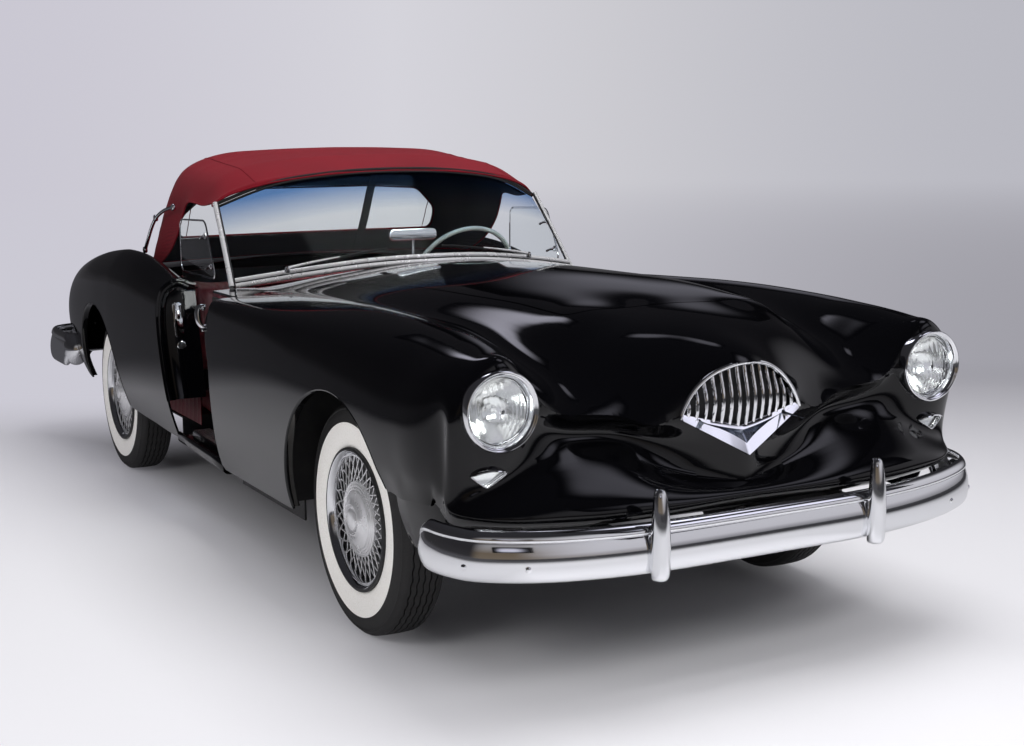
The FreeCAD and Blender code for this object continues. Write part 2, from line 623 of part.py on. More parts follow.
def steering_wheel():
    axis = steering_axis()
    rim = Part.makeTorus(205, 10, STEERING_CENTRE, axis)
    hub = Part.makeCylinder(34, 40, STEERING_CENTRE, axis)
    shaft = Part.makeCylinder(11, 110, STEERING_CENTRE, axis)
    body = rim.fuse(hub).fuse(shaft)
    across = V(0, 1, 0)
    down = axis.cross(across)
    for angle in (0, 180, 270):
        a = math.radians(angle)
        reach = across * math.cos(a) + down * (math.sin(a) if down.z > 0 else -math.sin(a))
        body = body.fuse(tube(STEERING_CENTRE + axis * 12, STEERING_CENTRE + axis * 6 + reach * 204, 7))
    return body


def steering_column():
    axis = steering_axis()
    start = STEERING_CENTRE + axis * 52
    outer = Part.makeCylinder(22, 820, start, axis)
    return outer.cut(Part.makeCylinder(13, 100, start, axis))


def seats():
    """Cushion and back of the left seat and their likes on the right: (x, z) outlines."""
    cushion = [(-130, 330), (-130, 425), (-200, 445), (-640, 400), (-640, 318)]
    back = [(-600, 455), (-690, 835), (-735, 850), (-775, 830), (-700, 440)]
    return [pair(prism([V(x, 20, z) for x, z in outline], V(0, 590, 0))) for outline in (cushion, back)]


def dashboard():
    """Instrument panel under the windshield: top, face and lower edge."""
    rows = []
    for (foot_x, y), top in zip(SCREEN_FOOT, (934, 926, 900, 866)):
        y = min(y, 668)
        front = foot_x - 30
        rows.append([V(front, y, top), V(min(125, front - 10), y, top - 6),
                     V(min(98, front - 26), y, top - 30), V(min(100, front - 24), y, top - 110),
                     V(min(135, front - 8), y, 735)])
    panel = wall(both_sides(rows_from_middle(rows)), 6.0, V(400, 0, 800))
    return panel.cut(tube(STEERING_CENTRE, STEERING_CENTRE + steering_axis() * 600, 30))


def rows_from_middle(rows):
    """Turns rows that each lie at one width into rows that run outward."""
    return [list(row) for row in zip(*rows)]


def firewall():
    plate = box(470, 478, -736, 736, FLOOR_Z + 8, 850)
    plate = plate.cut(tube(STEERING_CENTRE, STEERING_CENTRE + steering_axis() * 900, 30))
    return plate.cut(box(460, 490, -122, 122, 200, 480))


def floor_pan():
    """Cabin floor with its tunnel, the step under the seat, the bulkhead and the boot floor."""
    seat_floor = FLOOR_Z + 74
    cabin = box(-540, 468, -668, 668, FLOOR_Z, FLOOR_Z + 6)
    tunnel = box(-540, 468, -110, 110, FLOOR_Z, FLOOR_Z + 68)
    hollow = box(-560, 480, -104, 104, FLOOR_Z - 10, FLOOR_Z + 62)
    body = cabin.fuse(tunnel).cut(hollow)
    body = body.fuse(box(-546, -540, -668, 668, FLOOR_Z, seat_floor + 6).cut(hollow))
    body = body.fuse(box(-770, -546, -668, 668, seat_floor, seat_floor + 6))
    body = body.fuse(box(-858, -770, -550, 550, seat_floor, seat_floor + 6))
    body = body.fuse(box(-864, -858, -550, 550, seat_floor, 856))
    return body.fuse(box(-2170, -858, -550, 550, BOOT_FLOOR_Z, BOOT_FLOOR_Z + 6))


def inner_fender():
    """Wall of the door pocket, its front end, and the apron beside the engine."""
    low = box(408, 985, POCKET_WALL_Y - 6, POCKET_WALL_Y, FLOOR_Z + 8, 852)
    high = box(150, 410, POCKET_WALL_Y - 6, POCKET_WALL_Y, 318, 852)
    end = [(412, 850), (742, 850), (795, 820), (820, 700), (818, 560), (804, 400), (784, 305), (412, 305)]
    end = prism([V(985, y, z) for y, z in end], V(6, 0, 0))
    return low.fuse(high).fuse(end).fuse(box(985, 1780, 412, 418, 500, 842))


def rear_wheel_wall():
    """Wall between the rear wheel and the boot, with its front end and a hole for the axle."""
    side = box(-1560, -784, 556, 562, 330, 795)
    side = side.cut(Part.makeCylinder(62, 40, V(REAR_AXLE_X, 540, TYRE_RADIUS), V(0, 1, 0)))
    return side.fuse(box(-790, -784, 556, 690, 330, 840))


def lamp(x, y, z, radius, depth):
    return Part.makeCylinder(radius, depth, V(x - depth, y, z), V(1, 0, 0))


def plate_bracket():
    """Plate carrier over the rear bumper, with four holes for the plate's screws."""
    plate = box(-2284, -2280, -152, 152, 520, 672)
    for y in (-PLATE_HOLES_Y / 2, PLATE_HOLES_Y / 2):
        for z in (596 - PLATE_HOLES_Z / 2, 596 + PLATE_HOLES_Z / 2):
            plate = plate.cut(Part.makeCylinder(3.5, 20, V(-2290, y, z), V(1, 0, 0)))
    for y in (-60, 60):
        plate = plate.fuse(box(-2280, -2268, y - 10, y + 10, 540, 560))
    return plate


def build():
    export("plate_bracket", plate_bracket())
    hood, cowl, fenders, nose = front_panels()
    export("front_fenders", fenders)
    export("nose_panel", nose)
    export("hood", hood)
    export("cowl_panel", cowl)
    export("rear_quarter_left", quarter())
    export("rear_quarter_right", mirrored(quarter()))
    export("boot_lid", wall(both_sides(at_stations(LID)), SKIN, BOOT_POINT))
    tail_rows = [[V(x, y, z) for x, z in profile] for y, profile in TAIL]
    export("tail_panel", wall(both_sides(rows_from_middle(tail_rows)), SKIN, BOOT_POINT))
    deck = [(-868, [(0, 896), (300, 886), (633, 866)]), (-956, [(0, 900), (300, 891), (632, 866)])]
    export("rear_deck", wall(both_sides(at_stations(deck)), SKIN, V(-900, 0, 300)))
    export("sills", pair(box(-160, 402, 672, 812, 252, 312)))
    export("door_left", door())
    right = mirrored(door())
    right.translate(V(DOOR_TRAVEL, 0, 0))
    export("door_right", right)
    export("cabin_trim", pair(box(-766, -250, 672, 684, FLOOR_Z + 90, 850)))
    export("floor_pan", floor_pan())
    export("firewall", firewall())
    export("inner_fenders", pair(inner_fender()))
    export("rear_wheel_walls", pair(rear_wheel_wall()))
    export("frame_rails", frame())
    export("front_suspension", front_suspension())
    export("knuckle_left", knuckle())
    export("knuckle_right", mirrored(knuckle()))
    export("rear_axle", rear_axle())
    for end, x in (("front", FRONT_AXLE_X), ("rear", REAR_AXLE_X)):
        for name, side in (("left", 1), ("right", -1)):
            export("tyre_%s_%s" % (end, name), tyre(x, side))
            export("wheel_%s_%s" % (end, name), wheel(x, side))
    export("engine_block", box(880, 1480, -230, 230, 310, 800).fuse(box(500, 880, -95, 95, 250, 470)))
    export("fuel_tank", box(-2050, -1560, -190, 330, 280, 470))
    export("exhaust_pipe", exhaust())
    export("front_bumper", front_bumper())
    export("rear_bumper", rear_bumper())
    export("grille", grille())
    export("headlamps", pair(lamp(2150, 681, 753, 101, 110)))
    export("parking_lamps", pair(parking_lamp(0.0)))
    export("tail_lamps", pair(lamp(-2177, 630, 640, 34, 60)))
    export("windshield_frame", windshield_frame())
    export("windshield_glass", windshield_glass())
    export("wipers", Part.makeCompound([wiper(-150, -520), wiper(420, 60)]))
    wing = prism([V(-352, 700, 1098), V(-358, 700, 900), V(60, 700, 900), V(-40, 700, 1108)], V(0, 5, 0))
    export("wind_wings", pair(wing))
    export("mirror", tube(V(196, 0, 938), V(196, 0, 1040), 6).fuse(box(188, 204, -95, 95, 1018, 1062)))
    export("dashboard", dashboard())
    export("steering_column", steering_column())
    export("steering_wheel", steering_wheel())
    cushions, backs = seats()
    export("seat_cushions", cushions)
    export("seat_backs", backs)
    export("soft_top", soft_top())
    export("rear_window", rear_window())
    export("top_frame", top_frame())


build()
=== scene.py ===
import math

import bmesh
import bpy
from mathutils import Matrix, Vector
from mathutils.bvhtree import BVHTree


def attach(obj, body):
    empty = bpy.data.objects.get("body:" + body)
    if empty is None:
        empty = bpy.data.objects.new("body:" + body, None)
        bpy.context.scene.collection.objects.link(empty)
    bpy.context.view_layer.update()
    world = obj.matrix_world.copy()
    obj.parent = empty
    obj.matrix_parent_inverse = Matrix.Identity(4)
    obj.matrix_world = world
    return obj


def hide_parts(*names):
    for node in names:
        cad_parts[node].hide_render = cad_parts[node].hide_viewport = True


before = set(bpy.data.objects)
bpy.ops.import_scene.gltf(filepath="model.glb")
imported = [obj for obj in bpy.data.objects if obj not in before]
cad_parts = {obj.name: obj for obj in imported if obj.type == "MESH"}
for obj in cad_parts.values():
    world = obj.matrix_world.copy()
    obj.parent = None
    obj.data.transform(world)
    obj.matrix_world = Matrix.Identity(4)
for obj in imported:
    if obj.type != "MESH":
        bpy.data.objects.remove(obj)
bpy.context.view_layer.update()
scene = bpy.context.scene
scene.view_settings.view_transform = "Standard"


# ---- Studio -----------------------------------------------------------------------------
# A pale seamless floor that takes on the colours of the sky as it runs out, three soft lamps,
# and panels and bands of sky that show only in reflections. None of it is part of the car.

FLOOR_HALF = 400.0
CAMERA_AT = Vector((5.318, -2.384, 1.417))
CAMERA_YAW = math.radians(151.41)
CAMERA_PITCH = math.radians(-8.99)
CAMERA_ROLL = math.radians(-0.52)
CAMERA_LENS = 54.2
VIEW_HALF = 0.37               # half the width of the view, as a slope from its middle line
# Below: the span over which the floor's own colour darkens ahead of the camera, a painted fall-off of the
# studio's light.
FLOOR_PAINTED_FALLOFF = (5.6, 9.6)     # ahead of the camera, in metres
FLOOR_GLOWS = (7.6, 9.4)       # ahead of the camera: from lit floor to glowing backdrop
GLOW_NEARER = 1.1              # how much sooner the floor glows on the left of the view
NEARBY_ENDS = (4.8, 7.2)       # away from the camera: the floor's own colour ends
BACKDROP_RISES = (11.0, 45.0)  # away from the camera: from the low colours to the high ones
BANDS_FROM = 8.4               # the bands keep their width up to this far ahead
SKY_BANDS_FROM = 0.45          # the same for the sky, as a share of a level look
FAR_GLOW = (9.0, 16.0)         # away from the car, seen straight
# Seen in reflections, the floor away from the car turns into a dim glow: a painted reflection.
MIRRORED_PAINTED_GLOW = (2.8, 7.0)     # away from the car, seen in reflections
MIRRORED_STRENGTH = 0.12
# Painted light: the floor glows a little just outside the car's shadow and beside its sills, lifting that
# shadow.
PAINTED_LIGHT_BESIDE = 0.33             # the glow just outside the car's shadow
BESIDE_CAR = (2.2, 3.6)        # away from the middle of the car
BESIDE_SILL = (0.52, 0.90)     # to the side of the middle line
BRIGHT_SIDE = (0.62, 0.78, 0)  # the way to the bright side of the mirrored sky
BROWN_SIDE = (0.97, -0.24, 0)  # the way to its brown side


def start(name, operator, **size):
    """Adds a primitive with nothing else selected and gives it its name."""
    bpy.ops.object.select_all(action="DESELECT")
    operator(**size)
    piece = bpy.context.active_object
    piece.name = name
    piece.data.name = name
    return piece


def only(piece):
    """Leaves one piece selected and active."""
    bpy.ops.object.select_all(action="DESELECT")
    piece.select_set(True)
    bpy.context.view_layer.objects.active = piece
    return piece


def edit(piece, *steps):
    """Runs edit-mode steps on the whole of a piece: each is (operator, its settings)."""
    only(piece)
    bpy.ops.object.mode_set(mode="EDIT")
    bpy.ops.mesh.select_all(action="SELECT")
    for operator, settings in steps:
        operator(**settings)
    bpy.ops.object.mode_set(mode="OBJECT")
    return piece


forward = Vector((math.cos(CAMERA_PITCH) * math.cos(CAMERA_YAW),
                  math.cos(CAMERA_PITCH) * math.sin(CAMERA_YAW), math.sin(CAMERA_PITCH)))
level = forward.cross(Vector((0, 0, 1))).normalized()
upright = level.cross(forward)
right = math.cos(CAMERA_ROLL) * level + math.sin(CAMERA_ROLL) * upright
above = math.cos(CAMERA_ROLL) * upright - math.sin(CAMERA_ROLL) * level
camera = start("camera", bpy.ops.object.camera_add)
turn = Matrix((right, above, -forward)).transposed()
camera.matrix_world = Matrix.Translation(CAMERA_AT) @ turn.to_4x4()
camera.data.lens = CAMERA_LENS
camera.data.sensor_width = 36.0
scene.camera = camera

ahead_level = Vector((forward.x, forward.y, 0)).normalized()


def shader_node(tree, kind, **sockets):
    """A new shader node; sockets are the values of its unlinked inputs."""
    made = tree.nodes.new("ShaderNode" + kind)
    for label, value in sockets.items():
        made.inputs[label.replace("_", " ")].default_value = value
    return made


def wire_up(tree, *wires):
    """Wires sockets together: each wire is (node, its output, next node, its input)."""
    for source, leaves, target, enters in wires:
        tree.links.new(source.outputs[leaves], target.inputs[enters])


def combined(tree, operation, *terms, kind="Math"):
    """A sum on the terms, each a socket or a plain value."""
    made = shader_node(tree, kind)
    made.operation = operation
    for slot, term in zip(made.inputs, terms):
        if isinstance(term, bpy.types.NodeSocket):
            tree.links.new(term, slot)
        else:
            slot.default_value = term
    return made


def dotted(tree, source, direction):
    """How far a vector reaches along a direction."""
    reach = combined(tree, "DOT_PRODUCT", source, direction, kind="VectorMath")
    return reach.outputs["Value"]


def divided(tree, top, bottom):
    share = combined(tree, "DIVIDE", top, bottom)
    return share.outputs["Value"]


def ranged(tree, source, low, high, start_value=0.0, end_value=1.0):
    """Maps low..high smoothly to a range of its own."""
    made = shader_node(tree, "MapRange")
    made.interpolation_type = "SMOOTHSTEP"
    for label, value in (("From Min", low), ("From Max", high), ("To Min", start_value),
                         ("To Max", end_value)):
        made.inputs[label].default_value = value
    tree.links.new(source, made.inputs["Value"])
    return made.outputs["Result"]


def banded(tree, source, stops):
    """Colours along a line: stops are (position from 0 to 1, colour)."""
    ramp = shader_node(tree, "ValToRGB")
    while len(ramp.color_ramp.elements) < len(stops):
        ramp.color_ramp.elements.new(0.5)
    for element, (position, colour) in zip(ramp.color_ramp.elements, stops):
        element.position = position
        element.color = (*colour, 1)
    tree.links.new(source, ramp.inputs["Fac"])
    return ramp.outputs["Color"]


def mixed(tree, factor, first, second):
    blend = shader_node(tree, "Mix")
    blend.data_type = "RGBA"
    for source, label in ((factor, "Factor"), (first, "A"), (second, "B")):
        tree.links.new(source, blend.inputs[label])
    return blend.outputs["Result"]


def crossfaded(tree, factor, first, second):
    """From one shader to another as the factor goes from 0 to 1."""
    blend = shader_node(tree, "MixShader")
    for source, slot in zip((factor, first, second), blend.inputs):
        tree.links.new(source, slot)
    return blend.outputs["Shader"]


# Backdrop colours from the left of the view to the right; they darken toward the right as painted fall-off
# of the studio's light.
BACK_LOW = [(0.0, (0.60, 0.590, 0.66)), (0.30, (0.58, 0.57, 0.635)), (0.62, (0.50, 0.495, 0.545)),
            (1.0, (0.350, 0.345, 0.385))]
BACK_HIGH = [(0.0, (0.59, 0.575, 0.648)), (0.35, (0.665, 0.658, 0.71)), (0.62, (0.60, 0.595, 0.635)),
             (1.0, (0.485, 0.485, 0.535))]

floor = start("studio_floor", bpy.ops.mesh.primitive_plane_add, size=2 * FLOOR_HALF)
edit(floor, (bpy.ops.mesh.subdivide, {"number_cuts": 8}))
floor_finish = bpy.data.materials.new("studio_floor")
floor_finish.use_nodes = True
tree = floor_finish.node_tree
shader = tree.nodes["Principled BSDF"]
shader.inputs["Roughness"].default_value = 0.55
shader.inputs["Specular IOR Level"].default_value = 0.25
place = shader_node(tree, "TexCoord")
cloud = shader_node(tree, "TexNoise", Scale=0.35, Detail=2.0)
wire_up(tree, (place, "Object", cloud, "Vector"))
# The floor's own colour, light near the camera and darker far off: painted fall-off of light.
near = banded(tree, cloud.outputs["Fac"], [(0.0, (0.70, 0.695, 0.72)), (1.0, (0.82, 0.815, 0.835))])
far = banded(tree, cloud.outputs["Fac"], [(0.0, (0.35, 0.345, 0.375)), (1.0, (0.42, 0.415, 0.45))])
from_camera = combined(tree, "SUBTRACT", place.outputs["Object"], CAMERA_AT, kind="VectorMath")
depth = dotted(tree, from_camera.outputs["Vector"], ahead_level)
onward = combined(tree, "MAXIMUM", depth, BANDS_FROM)
aside = divided(tree, dotted(tree, from_camera.outputs["Vector"], level), onward.outputs["Value"])
tree.links.new(mixed(tree, ranged(tree, depth, *FLOOR_PAINTED_FALLOFF), near, far), shader.inputs["Base Color"])
aside = ranged(tree, aside, -VIEW_HALF, VIEW_HALF)
reach = combined(tree, "LENGTH", from_camera.outputs["Vector"], kind="VectorMath")
backdrop = mixed(tree, ranged(tree, reach.outputs["Value"], *BACKDROP_RISES),
                 banded(tree, aside, BACK_LOW), banded(tree, aside, BACK_HIGH))
nearby = banded(tree, cloud.outputs["Fac"], [(0.0, (0.61, 0.605, 0.64)), (1.0, (0.65, 0.645, 0.68))])
glow = shader_node(tree, "Emission")
beyond = ranged(tree, reach.outputs["Value"], *NEARBY_ENDS)
tree.links.new(mixed(tree, beyond, nearby, backdrop), glow.inputs["Color"])
# In reflections the floor glows only dimly, and away from the car it turns wholly to that glow: a painted
# reflection of the floor.
ray = shader_node(tree, "LightPath")
mirrored = combined(tree, "SUBTRACT", ray.outputs["Is Glossy Ray"], ray.outputs["Is Transmission Ray"])
mirrored.use_clamp = True
tree.links.new(ranged(tree, mirrored.outputs["Value"], 0.0, 1.0, 1.0, MIRRORED_STRENGTH),
               glow.inputs["Strength"])
away = combined(tree, "LENGTH", place.outputs["Object"], kind="VectorMath")
around = combined(tree, "MULTIPLY", mirrored.outputs["Value"],
                  ranged(tree, away.outputs["Value"], *MIRRORED_PAINTED_GLOW))
widest = combined(tree, "MAXIMUM", ranged(tree, away.outputs["Value"], *FAR_GLOW), around.outputs["Value"])
nearer = combined(tree, "ADD", depth, ranged(tree, aside, 0.0, 1.0, GLOW_NEARER, 0.0))
wider = combined(tree, "MAXIMUM", ranged(tree, nearer.outputs["Value"], *FLOOR_GLOWS),
                 widest.outputs["Value"])
across = shader_node(tree, "SeparateXYZ")
wire_up(tree, (place, "Object", across, "Vector"))
beside = combined(tree, "ABSOLUTE", across.outputs["Y"])
open_floor = wider.outputs["Value"]
# Painted light: beside the car and its sills the floor glows a little, lifting the car's shadow there.
for source, span in ((away.outputs["Value"], BESIDE_CAR), (beside.outputs["Value"], BESIDE_SILL)):
    larger = combined(tree, "MAXIMUM", open_floor, ranged(tree, source, *span, 0.0, PAINTED_LIGHT_BESIDE))
    open_floor = larger.outputs["Value"]
tree.links.new(crossfaded(tree, open_floor, shader.outputs["BSDF"], glow.outputs["Emission"]),
               tree.nodes["Material Output"].inputs["Surface"])
floor.data.materials.append(floor_finish)

world = bpy.data.worlds.new("studio")
scene.world = world
world.use_nodes = True
tree = world.node_tree
tree.nodes.clear()
aim = shader_node(tree, "TexCoord")
height = shader_node(tree, "SeparateXYZ")
wire_up(tree, (aim, "Generated", height, "Vector"))


def sky(colour, strength):
    light = shader_node(tree, "Background", Strength=strength)
    tree.links.new(colour, light.inputs["Color"])
    return light.outputs["Background"]


onward = combined(tree, "MAXIMUM", dotted(tree, aim.outputs["Generated"], ahead_level), SKY_BANDS_FROM)
aside = divided(tree, dotted(tree, aim.outputs["Generated"], level), onward.outputs["Value"])
seen = sky(banded(tree, ranged(tree, aside, -VIEW_HALF, VIEW_HALF), BACK_HIGH), 1.0)
bright_side = ranged(tree, dotted(tree, aim.outputs["Generated"], BRIGHT_SIDE), 0.42, 0.80)
belt = banded(tree, height.outputs["Z"], [(0.0, (0.40, 0.40, 0.40)), (0.14, (1, 1, 1)),
                                          (0.50, (0.9, 0.9, 0.9)), (0.66, (0.0, 0.0, 0.0))])
ahead_side = ranged(tree, dotted(tree, aim.outputs["Generated"], BROWN_SIDE), 0.70, 0.92)
dark_part = banded(tree, height.outputs["Z"], [(0.0, (0.060, 0.058, 0.064)), (0.06, (0.030, 0.029, 0.032)),
                                               (0.30, (0.022, 0.021, 0.024)), (1.0, (0.026, 0.026, 0.030))])
brown_part = banded(tree, height.outputs["Z"], [(0.0, (0.16, 0.13, 0.10)), (0.20, (0.14, 0.11, 0.08)),
                                                (0.42, (0.30, 0.29, 0.30)), (0.70, (0.05, 0.05, 0.05))])
bright_part = banded(tree, height.outputs["Z"], [(0.0, (0.50, 0.49, 0.53)), (0.50, (0.66, 0.65, 0.70))])
lifted = combined(tree, "MULTIPLY", bright_side, belt)
mirrored_sky = sky(mixed(tree, lifted.outputs["Value"], mixed(tree, ahead_side, dark_part, brown_part),
                         bright_part), 1.0)
lit = sky(banded(tree, height.outputs["Z"], [(0.0, (0.75, 0.74, 0.79)), (1.0, (0.62, 0.61, 0.65))]), 0.62)
ray = shader_node(tree, "LightPath")
straight = combined(tree, "MAXIMUM", ray.outputs["Is Camera Ray"], ray.outputs["Is Transmission Ray"])
indirect = crossfaded(tree, ray.outputs["Is Glossy Ray"], lit, mirrored_sky)
world_end = shader_node(tree, "OutputWorld")
tree.links.new(crossfaded(tree, straight.outputs["Value"], indirect, seen), world_end.inputs["Surface"])

LAMPS = [                           # place, what it faces, width, length, power
    ("lamp_over", (0.6, 0.6, 5.2), (0.6, 0.3, 0), 5.5, 3.0, 265),
    ("lamp_front", (6.4, 0.2, 3.8), (4.2, -0.2, 0.0), 3.0, 2.0, 150),
    ("lamp_near", (3.0, -4.6, 3.2), (1.3, -0.6, 0.4), 2.6, 1.6, 62),
]
for name, at, toward, width, length, power in LAMPS:
    lamp = start(name, bpy.ops.object.light_add, type="AREA", location=at)
    lamp.data.shape = "RECTANGLE"
    lamp.data.size = width
    lamp.data.size_y = length
    lamp.data.energy = power
    lamp.rotation_euler = (Vector(toward) - Vector(at)).to_track_quat("-Z", "Y").to_euler()
    lamp.visible_glossy = False

MIRRORED_PANELS = [                 # place, what it faces, width, length, brightness
    ("panel_long", (-2.3, -0.1, 5.1), (1.8, 0.0, 0.9), 1.3, 3.6, 3.0),
    ("panel_forehead", (0.6, 1.2, 4.7), (2.0, -0.4, 0.8), 0.9, 0.9, 1.3),
    ("panel_front", (5.9, 3.4, 3.8), (2.2, 0.0, 0.65), 5.2, 2.2, 1.15),
    ("panel_lip", (3.2, 2.2, 4.6), (2.3, 0.0, 0.5), 2.6, 2.8, 1.5),
    ("panel_front_low", (7.5, -2.0, 2.2), (2.2, 0.0, 0.7), 2.2, 1.0, 0.7),
    ("panel_hood", (-4.6, 4.6, 2.9), (1.7, 0.0, 0.95), 4.6, 3.2, 0.22),
]
for name, at, toward, width, length, brightness in MIRRORED_PANELS:
    panel = start(name, bpy.ops.mesh.primitive_plane_add, size=1, location=at)
    panel.rotation_euler = (Vector(toward) - Vector(at)).to_track_quat("-Z", "Y").to_euler()
    panel.scale = (width, length, 1)
    bpy.ops.object.transform_apply(location=True, rotation=True, scale=True)
    panel_finish = bpy.data.materials.new(name)
    panel_finish.use_nodes = True
    tree = panel_finish.node_tree
    tree.nodes.remove(tree.nodes["Principled BSDF"])
    across = shader_node(tree, "TexCoord")
    split = shader_node(tree, "SeparateXYZ")
    wire_up(tree, (across, "UV", split, "Vector"))
    falls = []
    for axis in ("X", "Y"):
        bent = combined(tree, "PINGPONG", split.outputs[axis], 0.5)
        falls.append(ranged(tree, bent.outputs["Value"], 0.0, 0.42))
    fall = combined(tree, "MULTIPLY", falls[0], falls[1])
    glow = shader_node(tree, "Emission", Color=(0.86, 0.85, 1.0, 1))
    tree.links.new(ranged(tree, fall.outputs["Value"], 0.0, 1.0, 0.0, brightness), glow.inputs["Strength"])
    tree.links.new(glow.outputs["Emission"], tree.nodes["Material Output"].inputs["Surface"])
    panel.data.materials.append(panel_finish)
    panel.visible_camera = False
    panel.visible_diffuse = False
    panel.visible_shadow = False
    panel.visible_transmission = False


# ---- Front body -------------------------------------------------------------------------
# One moulding of glass fibre from the windshield to the apron, hand laid in a female mould,
# rubbed down and finished in deep black. The hood opening, lamp holes, arches and grille
# opening are cut from it.

SHELL = 0.008                 # thickness of the moulding

# x, then (y, z) at the middle, hood crown, hood side, valley, inner slope, fender crest,
# shoulder, corner, widest line, waist, low line and bottom edge, in millimetres.
FRONT = [
    (150, [(0, 928), (200, 920), (400, 902), (540, 886), (611, 881), (660, 879), (790, 870),
           (843, 838), (852, 700), (850, 560), (836, 400), (812, 299)]),
    (280, [(0, 944), (200, 936), (405, 912), (545, 888), (612, 882), (660, 880), (790, 871),
           (843, 838), (852, 700), (850, 560), (836, 400), (812, 299)]),
    (403, [(0, 956), (200, 946), (412, 917), (552, 889), (615, 882), (660, 881), (790, 872),
           (843, 838), (852, 700), (850, 560), (836, 400), (812, 299)]),
    (650, [(0, 976), (205, 963), (420, 922), (545, 893), (610, 894), (658, 898), (787, 880),
           (841, 830), (852, 700), (850, 560), (836, 400), (812, 299)]),
    (903, [(0, 985), (200, 973), (408, 934), (530, 897), (600, 902), (655, 910), (785, 882),
           (838, 825), (851, 700), (849, 560), (835, 400), (812, 299)]),
    (1150, [(0, 988), (195, 975), (392, 941), (515, 896), (590, 906), (655, 919), (775, 886),
            (833, 812), (850, 695), (848, 560), (834, 400), (811, 299)]),
    (1388, [(0, 986), (185, 976), (374, 945), (490, 892), (580, 905), (655, 922), (768, 888),
            (829, 805), (848, 690), (847, 560), (834, 400), (811, 299)]),
    (1600, [(0, 976), (175, 966), (345, 941), (472, 878), (572, 899), (657, 918), (762, 883),
            (823, 798), (844, 690), (843, 560), (832, 400), (811, 299)]),
    (1738, [(0, 961), (165, 953), (330, 933), (467, 858), (570, 890), (659, 913), (758, 878),
            (818, 793), (840, 690), (841, 585), (834, 530), (822, 474)]),
    (1838, [(0, 944), (165, 937), (320, 924), (465, 833), (568, 884), (661, 907), (755, 872),
            (814, 788), (836, 690), (836, 600), (833, 548), (824, 503)]),
]

# The same lines carried on over the upper face, forehead, brow, hollow, lip, front edge of
# the apron and its underside: (x, y, z).
NOSE = [
    [(1948, 0, 925), (2080, 0, 882), (2215, 0, 825), (2208, 0, 640), (2194, 0, 520),
     (2245, 0, 490), (2160, 0, 440)],
    [(1950, 172, 911), (2075, 180, 855), (2172, 191, 700), (2150, 195, 640), (2165, 180, 552),
     (2250, 190, 490), (2160, 190, 442)],
    [(1940, 325, 878), (2040, 330, 815), (2143, 330, 708), (2095, 330, 655), (2150, 330, 592),
     (2250, 330, 492), (2160, 330, 445)],
    [(1940, 465, 805), (2030, 465, 770), (2122, 465, 722), (2085, 465, 665), (2140, 465, 604),
     (2240, 465, 494), (2150, 465, 448)],
    [(1940, 575, 866), (2040, 577, 842), (2118, 574, 765), (2112, 574, 690), (2135, 575, 598),
     (2225, 575, 497), (2130, 575, 450)],
    [(1960, 668, 898), (2075, 675, 880), (2128, 681, 860), (2130, 681, 646), (2125, 690, 560),
     (2192, 690, 500), (2110, 690, 455)],
    [(1950, 757, 864), (2045, 764, 848), (2112, 788, 770), (2110, 788, 690), (2100, 770, 548),
     (2125, 770, 503), (2070, 760, 465)],
    [(1930, 811, 787), (2010, 806, 778), (2065, 800, 740), (2075, 800, 670), (2065, 795, 548),
     (2070, 795, 510), (2030, 780, 480)],
    [(1905, 832, 690), (1965, 824, 688), (2015, 812, 680), (2045, 804, 640), (2050, 798, 560),
     (2045, 794, 530), (2005, 784, 500)],
    [(1890, 834, 598), (1940, 829, 596), (1985, 820, 592), (2015, 812, 585), (2025, 805, 560),
     (2020, 800, 537), (1985, 792, 515)],
    [(1885, 830, 557), (1930, 826, 554), (1970, 818, 551), (1995, 809, 548), (2003, 803, 540),
     (2000, 799, 528), (1975, 791, 512)],
    [(1880, 822, 502), (1920, 817, 505), (1955, 810, 506), (1975, 803, 506), (1983, 798, 505),
     (1980, 795, 503), (1965, 789, 500)],
]
BROW_ROW = len(FRONT) + 2
LIP_ROW = len(FRONT) + 4
HOOD_LINE = [(405, 0), (392, 150), (362, 315), (322, 455), (283, 560), (262, 615), (272, 640),
             (300, 636), (360, 596), (448, 540), (560, 475), (708, 430), (1054, 386), (1375, 372),
             (1610, 340), (1775, 324), (1815, 314), (1831, 290), (1836, 240), (1838, 0)]
SCREEN_FOOT = [(340, 0), (318, 230), (265, 455), (175, 672)]
HALF_GAP = 0.0025
FRONT_ARCH = (1.438, 0.333, 0.385)       # x, z, radius
DOOR_MOUTH_X = 0.403


def mm(*values):
    """A point given in millimetres, in metres."""
    return Vector([value * 0.001 for value in values])


def both_sides(half):
    """Stations that run outward from the middle, continued to the right side."""
    return [Vector((p.x, -p.y, p.z)) for p in reversed(half[1:])] + half


def lofted(name, rows):
    """A grid laid through rows of stations."""
    piece = start(name, bpy.ops.mesh.primitive_grid_add, x_subdivisions=len(rows[0]) - 1,
                  y_subdivisions=len(rows) - 1, size=1)
    for vertex, point in zip(piece.data.vertices, [p for row in rows for p in row]):
        vertex.co = point
    return piece


def apply_all(piece):
    only(piece)
    for modifier in list(piece.modifiers):
        bpy.ops.object.modifier_apply(modifier=modifier.name)
    return piece


def crease(piece, edges, weight):
    """Keeps some edges of a cage crisp; edges are pairs of its vertex numbers."""
    mesh = piece.data
    layer = mesh.attributes.get("crease_edge") or mesh.attributes.new("crease_edge", "FLOAT", "EDGE")
    wanted = {frozenset(pair) for pair in edges}
    for edge in mesh.edges:
        if frozenset(edge.vertices) in wanted:
            layer.data[edge.index].value = weight


